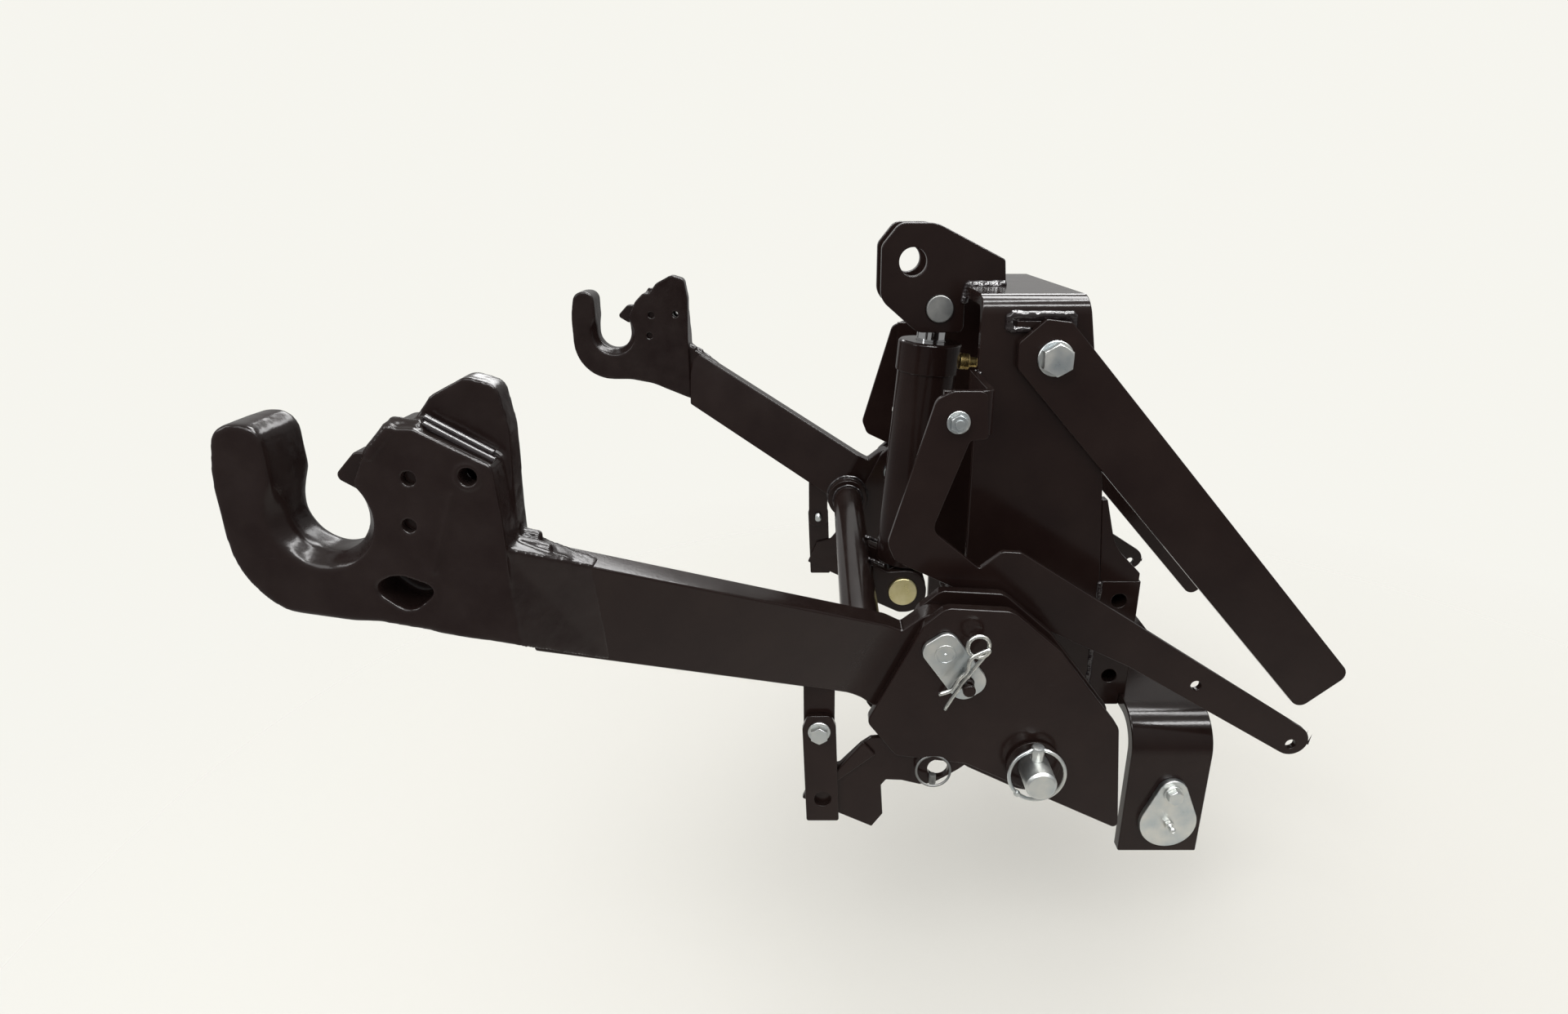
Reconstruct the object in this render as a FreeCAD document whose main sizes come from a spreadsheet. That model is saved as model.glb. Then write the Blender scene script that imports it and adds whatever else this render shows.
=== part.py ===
import FreeCAD, Part
import math
import os
from types import SimpleNamespace

import Sketcher
from FreeCAD import Placement, Rotation, Vector

# Front three-point linkage for a compact tractor, in millimetres.
# X points back to the tractor, Y to the right of the driver, Z up.
# The origin is the centre of the mounting block's rear face.

# Driving sizes: alias and value, kept in the spreadsheet.
SIZES = {
    # Main frame: a bent inverted channel over the mounting block
    "frame_wall": 10.0,
    "frame_half_width": 120.0,
    "frame_top": 318.0,
    "frame_front": -163.0,
    "frame_back_top": -75.0,
    "frame_bottom": -98.0,
    "frame_bend": 16.0,
    "block_depth": 38.0,
    "block_top": 60.0,
    "block_bottom": -72.0,
    "tap_radius": 7.0,
    "tap_depth": 30.0,
    "tap_setback": 18.0,
    "tap_rise": 40.0,
    # Top link lugs and the hole for the top link pin
    "lug_wall": 10.0,
    "lug_gap": 46.0,
    "top_hole_x": -212.0,
    "top_hole_z": 339.0,
    "top_hole_radius": 12.75,
    # Saddle strap that drops over the tractor's front bracket
    "saddle_wall": 12.0,
    "saddle_rebate": 6.0,
    "saddle_length": 70.0,
    "saddle_half_width": 168.0,
    "saddle_bottom": -207.0,
    "saddle_bend": 38.0,
    "saddle_pin_x": 36.0,
    "saddle_pin_z": -169.0,
    "saddle_pin_radius": 15.0,
    "saddle_pin_reach": 46.0,
    "saddle_keeper": 6.0,
    # Braces from the top of the frame back to the tractor
    "brace_wall": 10.0,
    "brace_width": 57.0,
    "brace_bolt_x": -102.0,
    "brace_bolt_z": 268.0,
    "brace_end_x": 186.0,
    "brace_end_z": -52.0,
    "brace_bolt_radius": 8.0,
    # Side stays: cranked flat plates outside the braces
    "stay_wall": 6.0,
    "stay_face": 204.0,
    "stay_bolt_x": -192.0,
    "stay_bolt_z": 232.0,
    "stay_bolt_radius": 4.0,
    "stay_hole_radius": 4.5,
    # Lift pivot through the foot of the frame
    "pivot_x": -124.0,
    "pivot_z": -41.0,
    "pivot_radius": 12.5,
    "pivot_overhang": 31.0,
    "pivot_tube_radius": 25.0,
    "running_gap": 0.05,
    "face_gap": 0.4,
    # Rocker cheeks, one inner and one outer on each side
    "cheek_wall": 10.0,
    "cheek_inner_face": 212.0,
    "arm_wall": 20.0,
    "arm_side_gap": 0.5,
    "flag_x": -201.0,
    "flag_z": 62.0,
    "flag_radius": 12.5,
    # Lower links
    "arm_height": 68.0,
    "arm_offset": 19.0,
    "arm_slope": 27.0,
    "arm_bend_x": -268.0,
    "arm_end_x": -478.0,
    "arm_end_y": 352.0,
    # Catch hooks for the implement's lower link balls
    "hook_x": -581.0,
    "hook_z": 221.0,
    "hook_y": 364.0,
    "hook_wall": 40.0,
    "ball_seat_radius": 23.0,
    "latch_wall": 14.0,
    "latch_travel": 18.0,
    "latch_pin_radius": 4.0,
    # Cross tube and cylinder lugs of the rocker
    "cross_tube_radius": 18.0,
    "cross_tube_x": -260.0,
    "cross_tube_z": 30.0,
    "base_lug_wall": 8.0,
    "base_lug_gap": 44.0,
    "base_pin_x": -210.0,
    "base_pin_z": 7.0,
    "base_pin_radius": 15.0,
    "base_eye_radius": 25.0,
    # Lift cylinder
    "top_pin_x": -186.0,
    "top_pin_z": 297.0,
    "top_pin_radius": 12.5,
    "top_eye_radius": 24.0,
    "eye_width": 40.0,
    "barrel_radius": 29.0,
    "bore_radius": 23.0,
    "rod_radius": 14.0,
    "gland_radius": 31.0,
    "gland_length": 30.0,
    "piston_length": 26.0,
    # Hanging brackets under the lower links
    "bracket_wall": 6.0,
    "bracket_tab_wall": 8.0,
    "bracket_face": 248.0,
    "bracket_width": 27.0,
    "bracket_bolt_x": -298.0,
    "bracket_bolt_z": -10.0,
    "bracket_hole_x": -295.0,
    "bracket_hole_z": -76.0,
    "bracket_hole_radius": 7.0,
}


def new_document():
    """Make the document and the sheet that holds the driving sizes."""
    document = FreeCAD.newDocument("front_linkage")
    table = document.addObject("Spreadsheet::Sheet", "sizes")
    for row, (alias, value) in enumerate(SIZES.items(), start=1):
        table.set(f"A{row}", alias)
        table.set(f"B{row}", str(value))
        table.setAlias(f"B{row}", alias)
    document.recompute()
    return document, table


doc, sheet = new_document()
dim = SimpleNamespace(**{alias: float(getattr(sheet, alias)) for alias in SIZES})
pieces = {}

NEAR = -1
FAR = 1


def keep(name, feature):
    """Label a finished object and list it as a piece of the assembly."""
    feature.Label = name
    pieces[name] = feature
    return feature


def mirrored(name, feature):
    """Mirror image of a left piece on the right."""
    mirror = doc.addObject("Part::Mirroring", f"{name}_mirror")
    mirror.Source = feature
    mirror.Base = Vector(0, 0, 0)
    mirror.Normal = Vector(0, 1, 0)
    return mirror


def both_sides(name, feature):
    """Keep a left piece and its mirror image as two pieces."""
    keep(f"{name}_left", feature)
    keep(f"{name}_right", mirrored(name, feature))


def as_pair(name, feature):
    """Keep identical small pieces of both sides together as one group of solids."""
    pair = doc.addObject("Part::Compound", f"{name}_pair")
    pair.Links = [feature, mirrored(name, feature)]
    keep(name, pair)


def corner_arc(before, corner, after, radius):
    """Tangent points and middle of the arc that rounds one corner."""
    to_before = (before - corner).normalize()
    to_after = (after - corner).normalize()
    half_angle = to_before.getAngle(to_after) / 2
    setback = radius / math.tan(half_angle)
    bisector = (to_before + to_after).normalize()
    centre = corner + bisector * (radius / math.sin(half_angle))
    return corner + to_before * setback, centre - bisector * radius, corner + to_after * setback


def outline(corners):
    """Lines and arcs of a closed outline; each corner is (x, y) or (x, y, radius)."""
    points = [Vector(c[0], c[1], 0) for c in corners]
    radii = [c[2] if len(c) > 2 else 0.0 for c in corners]
    joints = []
    for index, (point, radius) in enumerate(zip(points, radii)):
        if radius > 0:
            after = points[(index + 1) % len(points)]
            joints.append(corner_arc(points[index - 1], point, after, radius))
        else:
            joints.append((point, None, point))
    edges = []
    for index, (start, middle, end) in enumerate(joints):
        if middle is not None:
            edges.append(Part.Arc(start, middle, end))
        following = joints[(index + 1) % len(joints)][0]
        if end.distanceToPoint(following) > 1e-4:
            edges.append(Part.LineSegment(end, following))
    return edges


def new_sketch(body, role, name, lift=0.0):
    """Sketch on one of the body's own origin planes, lifted along its normal."""
    sketch = body.newObject("Sketcher::SketchObject", name)
    plane = next(item for item in body.Origin.OriginFeatures if item.Role == role)
    sketch.AttachmentSupport = (plane, [""])
    sketch.MapMode = "FlatFace"
    sketch.AttachmentOffset = Placement(Vector(0, 0, lift), Rotation())
    return sketch


def add_hole(sketch, x, y, radius_expression):
    """Circle whose radius follows the sheet."""
    index = sketch.addGeometry(Part.Circle(Vector(x, y, 0), Vector(0, 0, 1), 1.0))
    sketch.addConstraint(Sketcher.Constraint("DistanceX", index, 3, x))
    sketch.addConstraint(Sketcher.Constraint("DistanceY", index, 3, y))
    rule = sketch.addConstraint(Sketcher.Constraint("Radius", index, 1.0))
    sketch.setExpression(f"Constraints[{rule}]", radius_expression)


def pad(body, sketch, name, length, midplane=False):
    """Pad a sketch by a sheet expression, along the sketch's normal."""
    feature = body.newObject("PartDesign::Pad", name)
    feature.Profile = sketch
    feature.setExpression("Length", length)
    feature.Midplane = midplane
    return feature


def pocket(body, sketch, name, length=None, midplane=False):
    """Pocket a sketch against its normal, or through everything."""
    feature = body.newObject("PartDesign::Pocket", name)
    feature.Profile = sketch
    feature.Midplane = midplane
    if length is None:
        feature.Type = 1
    else:
        feature.setExpression("Length", length)
    return feature


def teardrop(x, y, big, small, rise):
    """Outline of a big round at (x, y) and a small one above it, joined by tangents."""
    lean = math.asin((big - small) / rise)
    right_low = Vector(x + big * math.cos(lean), y + big * math.sin(lean), 0)
    right_high = Vector(x + small * math.cos(lean), y + rise + small * math.sin(lean), 0)
    left_low = Vector(2 * x - right_low.x, right_low.y, 0)
    left_high = Vector(2 * x - right_high.x, right_high.y, 0)
    return [
        Part.Arc(right_low, Vector(x, y - big, 0), left_low), Part.LineSegment(left_low, left_high),
        Part.Arc(left_high, Vector(x, y + rise + small, 0), right_high),
        Part.LineSegment(right_high, right_low),
    ]


def plate(name, edges, wall, inner_y, holes=()):
    """Upright plate in the X-Z plane that grows to the left from the face at inner_y."""
    body = doc.addObject("PartDesign::Body", name)
    sketch = new_sketch(body, "XZ_Plane", f"{name}_outline")
    sketch.addGeometry(edges)
    for x, z, radius in holes:
        add_hole(sketch, x, z, radius)
    pad(body, sketch, f"{name}_pad", wall)
    body.setExpression("Placement.Base.y", inner_y)
    return body


def cylinder(name, radius, length, base, axis):
    """Part cylinder from a base point along an axis, bound to the sheet."""
    solid = doc.addObject("Part::Cylinder", name)
    solid.setExpression("Radius", radius)
    solid.setExpression("Height", length)
    solid.Placement = Placement(base, Rotation(Vector(0, 0, 1), axis))
    return solid


def box(name, size, corner):
    """Part box between plain lengths, placed at its lowest corner."""
    solid = doc.addObject("Part::Box", name)
    solid.Length, solid.Width, solid.Height = size
    solid.Placement.Base = corner
    return solid


def cut(name, base, tool):
    """Part cut of one object by another."""
    result = doc.addObject("Part::Cut", name)
    result.Base = base
    result.Tool = tool
    return result


def fuse(name, shapes):
    """Part fusion of several objects."""
    result = doc.addObject("Part::MultiFuse", name)
    result.Shapes = shapes
    return result


def group(name, shapes):
    """Several separate solids kept together as one piece."""
    result = doc.addObject("Part::Compound", name)
    result.Links = shapes
    return result


def hexagon(across_flats):
    """Corners of a hexagon, flats upright."""
    radius = across_flats / math.sqrt(3)
    turns = [math.radians(60 * step + 30) for step in range(6)]
    return [(radius * math.cos(turn), radius * math.sin(turn)) for turn in turns]


def hex_prism(name, across_flats, height, x, y, z):
    """Hexagon bolt head or nut whose inner face is at y and which grows to the left."""
    body = doc.addObject("PartDesign::Body", name)
    sketch = new_sketch(body, "XZ_Plane", f"{name}_hexagon")
    sketch.addGeometry(outline(hexagon(across_flats)))
    head = body.newObject("PartDesign::Pad", f"{name}_pad")
    head.Profile = sketch
    head.Length = height
    body.Placement.Base = Vector(x, y, z)
    return body


def disc(name, radius, height, x, y, z):
    """Short cylinder whose inner face is at y and which grows to the left."""
    solid = doc.addObject("Part::Cylinder", name)
    solid.Radius = radius
    solid.Height = height
    solid.Placement = Placement(Vector(x, y, z), Rotation(Vector(0, 0, 1), Vector(0, -1, 0)))
    return solid


LEFTWARD = Vector(0, -1, 0)
PIVOT = Vector(dim.pivot_x, 0, dim.pivot_z)
FLAG = Vector(dim.flag_x, 0, dim.flag_z)
TOP_HOLE = Vector(dim.top_hole_x, 0, dim.top_hole_z)
TOP_PIN = Vector(dim.top_pin_x, 0, dim.top_pin_z)
BASE_PIN = Vector(dim.base_pin_x, 0, dim.base_pin_z)
HOOK = Vector(dim.hook_x, 0, dim.hook_z)


def make_frame():
    """Channel, mounting block, ribs and top link lugs."""
    half = dim.frame_half_width
    body = doc.addObject("PartDesign::Body", "channel")
    sketch = new_sketch(body, "YZ_Plane", "channel_section", dim.frame_front)
    inner = half - dim.frame_wall
    outer_bend = dim.frame_bend
    inner_bend = outer_bend - dim.frame_wall
    sketch.addGeometry(outline([
        (-half, dim.frame_bottom), (-half, dim.frame_top, outer_bend),
        (half, dim.frame_top, outer_bend), (half, dim.frame_bottom),
        (inner, dim.frame_bottom), (inner, dim.frame_top - dim.frame_wall, inner_bend),
        (-inner, dim.frame_top - dim.frame_wall, inner_bend), (-inner, dim.frame_bottom),
    ]))
    pad(body, sketch, "channel_pad", "-sizes.frame_front")
    side = new_sketch(body, "XZ_Plane", "channel_side_cut")
    back = -dim.block_depth
    side.addGeometry(outline([
        (dim.frame_back_top, dim.frame_top + 5), (back - 8, dim.block_top + 90, 40),
        (back, dim.block_top), (back, dim.block_bottom), (-70, dim.frame_bottom - 5),
        (20, dim.frame_bottom - 5),
        (20, dim.frame_top + 5),
    ]))
    pocket(body, side, "channel_side_pocket", "4 * sizes.frame_half_width", midplane=True)
    foot = new_sketch(body, "XZ_Plane", "channel_pivot_hole")
    add_hole(foot, dim.pivot_x, dim.pivot_z, "sizes.pivot_tube_radius")
    add_hole(foot, dim.brace_bolt_x, dim.brace_bolt_z, "sizes.brace_bolt_radius + 0.5")
    pocket(body, foot, "channel_pivot_pocket", "4 * sizes.frame_half_width", midplane=True)
    keep("frame_channel", body)

    block = doc.addObject("PartDesign::Body", "block")
    section = new_sketch(block, "XZ_Plane", "block_section")
    section.addGeometry(outline([
        (-dim.block_depth, dim.block_bottom), (-dim.block_depth, dim.block_top),
        (0, dim.block_top), (0, dim.block_bottom + dim.saddle_wall),
        (-dim.saddle_rebate, dim.block_bottom + dim.saddle_wall),
        (-dim.saddle_rebate, dim.block_bottom),
    ]))
    pad(block, section, "block_pad", "2 * sizes.frame_half_width", midplane=True)
    for side_sign, side_name in ((NEAR, "left"), (FAR, "right")):
        taps = new_sketch(block, "XZ_Plane", f"block_taps_{side_name}", -side_sign * half)
        for rise in (-dim.tap_rise, dim.tap_rise):
            add_hole(taps, -dim.tap_setback, rise, "sizes.tap_radius")
        drilling = pocket(block, taps, f"block_tap_{side_name}", "sizes.tap_depth")
        drilling.Reversed = side_sign == FAR
    keep("mounting_block", block)

    # Curved ribs that tie the channel's back to the block's top face
    rib_foot = dim.block_top
    rib = plate("rib", outline([
        (back, rib_foot), (back - 7.1, rib_foot + 80), (back - 2, rib_foot + 80),
        (back + 10, rib_foot + 34, 50), (-2, rib_foot + 8), (-2, rib_foot),
    ]), "sizes.frame_wall", "-(sizes.frame_half_width - sizes.frame_wall)")
    both_sides("back_rib", rib)

    lug = plate("lug", outline([
        (TOP_HOLE.x - 29, TOP_HOLE.z + 14, 10), (TOP_HOLE.x - 13, TOP_HOLE.z + 34, 12),
        (TOP_HOLE.x + 20, TOP_HOLE.z + 34, 30), (TOP_HOLE.x + 84, TOP_HOLE.z + 2, 4),
        (TOP_HOLE.x + 86, dim.frame_top), (dim.frame_front, dim.frame_top),
        (dim.frame_front, TOP_PIN.z - 22, 6), (TOP_PIN.x - 20, TOP_PIN.z - 22, 16),
        (TOP_HOLE.x - 29, TOP_HOLE.z - 34, 18),
    ]), "sizes.lug_wall", "-sizes.lug_gap / 2", holes=(
        (TOP_HOLE.x, TOP_HOLE.z, "sizes.top_hole_radius"),
        (TOP_PIN.x, TOP_PIN.z, "sizes.top_pin_radius + sizes.running_gap"),
    ))
    both_sides("top_link_lug", lug)


def make_saddle():
    """Strap let into the block's lower edge, with its two retained pins."""
    half = dim.saddle_half_width
    inner = half - dim.saddle_wall
    top = dim.block_bottom + dim.saddle_wall
    body = doc.addObject("PartDesign::Body", "saddle")
    sketch = new_sketch(body, "YZ_Plane", "saddle_section", -dim.saddle_rebate)
    sketch.addGeometry(outline([
        (-half, dim.saddle_bottom), (-half, top, dim.saddle_bend),
        (half, top, dim.saddle_bend), (half, dim.saddle_bottom),
        (inner, dim.saddle_bottom), (inner, dim.block_bottom, dim.saddle_bend - dim.saddle_wall),
        (-inner, dim.block_bottom, dim.saddle_bend - dim.saddle_wall), (-inner, dim.saddle_bottom),
    ]))
    pad(body, sketch, "saddle_pad", "sizes.saddle_length + sizes.saddle_rebate")
    holes = new_sketch(body, "XZ_Plane", "saddle_pin_holes")
    add_hole(holes, dim.saddle_pin_x, dim.saddle_pin_z, "sizes.saddle_pin_radius")
    pocket(body, holes, "saddle_pin_pocket", "4 * sizes.saddle_half_width", midplane=True)
    keep("saddle_strap", body)

    x, z = dim.saddle_pin_x, dim.saddle_pin_z
    shaft = cylinder("saddle_shaft", "sizes.saddle_pin_radius",
                     "sizes.saddle_wall + sizes.saddle_pin_reach",
                     Vector(x, -half, z), -LEFTWARD)
    keeper = plate("keeper", teardrop(x, z, 27.0, 14.0, 34.0),
                   "sizes.saddle_keeper", "-sizes.saddle_half_width")
    both_sides("saddle_pin", fuse("saddle_pin_solid", [shaft, keeper]))
    outer = -(half + dim.saddle_keeper)
    bolt = fuse("keeper_bolt_solid", [
        disc("keeper_washer", 9.0, 1.6, x, outer, z + 34),
        hex_prism("keeper_head", 13.0, 6.0, x, outer - 1.6, z + 34),
    ])
    as_pair("keeper_bolts", bolt)
    nipple = fuse("nipple_solid", [
        hex_prism("nipple_hex", 8.0, 4.0, x, outer, z),
        disc("nipple_stem", 2.2, 5.0, x, outer - 4.0, z),
        disc("nipple_head", 3.2, 3.0, x, outer - 9.0, z),
    ])
    as_pair("grease_nipples", nipple)


def make_braces():
    """Wide braces and their top bolts."""
    run = Vector(dim.brace_end_x - dim.brace_bolt_x, 0, dim.brace_end_z - dim.brace_bolt_z)
    length = run.Length
    half = dim.brace_width / 2
    body = doc.addObject("PartDesign::Body", "brace")
    sketch = new_sketch(body, "XZ_Plane", "brace_outline")
    sketch.addGeometry(outline([
        (-30, -half + 14, 4), (-14, -half, 4), (length, -half, 10), (length, half, 10),
        (-14, half, 4), (-30, half - 14, 4),
    ]))
    add_hole(sketch, 0, 0, "sizes.brace_bolt_radius + 0.5")
    pad(body, sketch, "brace_pad", "sizes.brace_wall")
    slope = math.degrees(math.atan2(-run.z, run.x))
    body.Placement = Placement(
        Vector(dim.brace_bolt_x, -dim.frame_half_width, dim.brace_bolt_z),
        Rotation(Vector(0, 1, 0), slope))
    both_sides("brace", body)

    outer = -(dim.frame_half_width + dim.brace_wall)
    x, z = dim.brace_bolt_x, dim.brace_bolt_z
    reach = dim.frame_wall + dim.brace_wall
    head = fuse("brace_bolt_solid", [
        disc("brace_washer", 15.0, 3.0, x, outer, z),
        hex_prism("brace_head", 24.0, 10.0, x, outer - 3.0, z),
        cylinder("brace_shank", "sizes.brace_bolt_radius",
                 "sizes.frame_wall + sizes.brace_wall + 22", Vector(x, outer, z), -LEFTWARD),
    ])
    as_pair("brace_bolts", head)
    nut = doc.addObject("PartDesign::Body", "brace_nut")
    nut_sketch = new_sketch(nut, "XZ_Plane", "brace_nut_hexagon")
    nut_sketch.addGeometry(outline(hexagon(24.0)))
    add_hole(nut_sketch, 0, 0, "sizes.brace_bolt_radius")
    nut_pad = nut.newObject("PartDesign::Pad", "brace_nut_pad")
    nut_pad.Profile = nut_sketch
    nut_pad.Length = 13.0
    nut.Placement.Base = Vector(x, outer + reach + 13.0, z)
    as_pair("brace_nuts", nut)


def make_stays():
    """Cranked side stays with their carrier tabs and bolts."""
    x, z = dim.stay_bolt_x, dim.stay_bolt_z
    stay = plate("stay", outline([
        (x - 17, z + 18, 10), (x - 4, z + 24, 8), (x + 21, z + 24, 6), (x + 24, z - 13, 3),
        (x + 10, z - 15, 3), (x - 16, z - 89, 12), (x + 24, z - 122, 3), (x + 42, z - 107, 6),
        (x + 57, z - 108, 6), (x + 325, z - 280, 15), (x + 318, z - 309, 15),
        (x + 157, z - 213, 40), (x - 45, z - 115, 10), (x - 51, z - 100, 10),
    ]), "sizes.stay_wall", "-(sizes.stay_face - sizes.stay_wall)", holes=(
        (x, z, "sizes.stay_hole_radius"),
        (x + 216, z - 231, "sizes.stay_hole_radius"),
        (x + 308, z - 290, "sizes.stay_hole_radius"),
    ))
    both_sides("side_stay", stay)

    # Angle tab from the channel's front edge out to the stay's head
    inner = dim.stay_face - dim.stay_wall
    tab = doc.addObject("PartDesign::Body", "tab")
    sketch = new_sketch(tab, "XY_Plane", "tab_section", z - 13)
    front = dim.frame_front - 6
    sketch.addGeometry(outline([
        (front, -dim.frame_half_width + 8), (front, -inner + 6, 4), (front - 34, -inner + 6),
        (front - 34, -inner), (dim.frame_front, -inner, 10),
        (dim.frame_front, -dim.frame_half_width + 8),
    ]))
    pad(tab, sketch, "tab_pad", "36")
    hole = new_sketch(tab, "XZ_Plane", "tab_hole", inner + 10)
    add_hole(hole, x, z, "sizes.stay_hole_radius")
    pocket(tab, hole, "tab_pocket", "30")
    both_sides("stay_tab", tab)

    outer = -dim.stay_face
    bolt = fuse("stay_bolt_solid", [
        disc("stay_flange", 9.0, 1.8, x, outer, z),
        hex_prism("stay_head", 13.0, 6.0, x, outer - 1.8, z),
        cylinder("stay_shank", "sizes.stay_bolt_radius", "2 * sizes.stay_wall + 14",
                 Vector(x, outer, z), -LEFTWARD),
    ])
    as_pair("stay_bolts", bolt)


def make_pivot():
    """Pivot tube, shaft and lynch pins at the foot of the frame."""
    reach = dim.cheek_inner_face - dim.face_gap
    tube = doc.addObject("PartDesign::Body", "pivot_sleeve")
    sketch = new_sketch(tube, "XZ_Plane", "pivot_sleeve_section")
    add_hole(sketch, 0, 0, "sizes.pivot_tube_radius")
    add_hole(sketch, 0, 0, "sizes.pivot_radius")
    tube_pad = tube.newObject("PartDesign::Pad", "pivot_sleeve_pad")
    tube_pad.Profile = sketch
    tube_pad.setExpression("Length", "2 * (sizes.cheek_inner_face - sizes.face_gap)")
    tube_pad.Midplane = True
    tube.Placement.Base = PIVOT
    keep("pivot_tube", tube)

    half_length = "(sizes.cheek_inner_face + 2 * sizes.cheek_wall + sizes.arm_wall + 2 * sizes.arm_side_gap + sizes.pivot_overhang)"
    shaft = cylinder("pivot_rod", "sizes.pivot_radius", f"2 * {half_length}",
                     PIVOT + LEFTWARD * (cheek_outer_face() + dim.pivot_overhang), -LEFTWARD)
    chamfer = doc.addObject("Part::Chamfer", "pivot_rod_chamfer")
    chamfer.Base = shaft
    doc.recompute()
    rims = [index for index, edge in enumerate(shaft.Shape.Edges, start=1) if edge.isClosed()
            and isinstance(edge.Curve, Part.Circle)]
    chamfer.Edges = [(index, 2.0, 2.0) for index in rims]
    pin_y = cheek_outer_face() + 11.0
    holes = [cylinder(f"lynch_hole_{label}", "5.1", "40",
                      PIVOT + Vector(0, sign * pin_y, -20), Vector(0, 0, 1))
             for sign, label in ((NEAR, "near"), (FAR, "far"))]
    drilled = cut("pivot_shaft_drilled", chamfer, fuse("lynch_holes", holes))
    keep("pivot_shaft", drilled)

    washer = doc.addObject("PartDesign::Body", "washer")
    washer_sketch = new_sketch(washer, "XZ_Plane", "washer_section")
    add_hole(washer_sketch, 0, 0, "22")
    add_hole(washer_sketch, 0, 0, "sizes.pivot_radius + sizes.running_gap")
    pad(washer, washer_sketch, "washer_pad", "3")
    washer.Placement.Base = PIVOT + LEFTWARD * (cheek_outer_face() + dim.face_gap)
    as_pair("pivot_washers", washer)

    # Lynch pin: a tapered plug through the shaft and a spring ring round its end
    plug = cylinder("lynch_plug", "5", "44", PIVOT + Vector(0, -pin_y, -20), Vector(0, 0, 1))
    head = cylinder("lynch_head", "7", "7", PIVOT + Vector(0, -pin_y, 18), Vector(0, 0, 1))
    ring = doc.addObject("Part::Torus", "lynch_ring")
    ring.Radius1 = 22.5
    ring.Radius2 = 1.8
    ring.Placement = Placement(PIVOT + Vector(0, -pin_y - 5, 0),
                               Rotation(Vector(0, 0, 1), LEFTWARD))
    both_sides("lynch_pin", fuse("lynch_pin_solid", [plug, head, ring]))


def cheek_outer_face():
    """Distance of the outer cheek's outer face from the mid-plane."""
    gap = dim.arm_wall + 2 * dim.arm_side_gap
    return dim.cheek_inner_face + 2 * dim.cheek_wall + gap


def arm_middle():
    """Distance of the lower link's rear part from the mid-plane."""
    return dim.cheek_inner_face + dim.cheek_wall + dim.arm_side_gap + dim.arm_wall / 2


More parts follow.
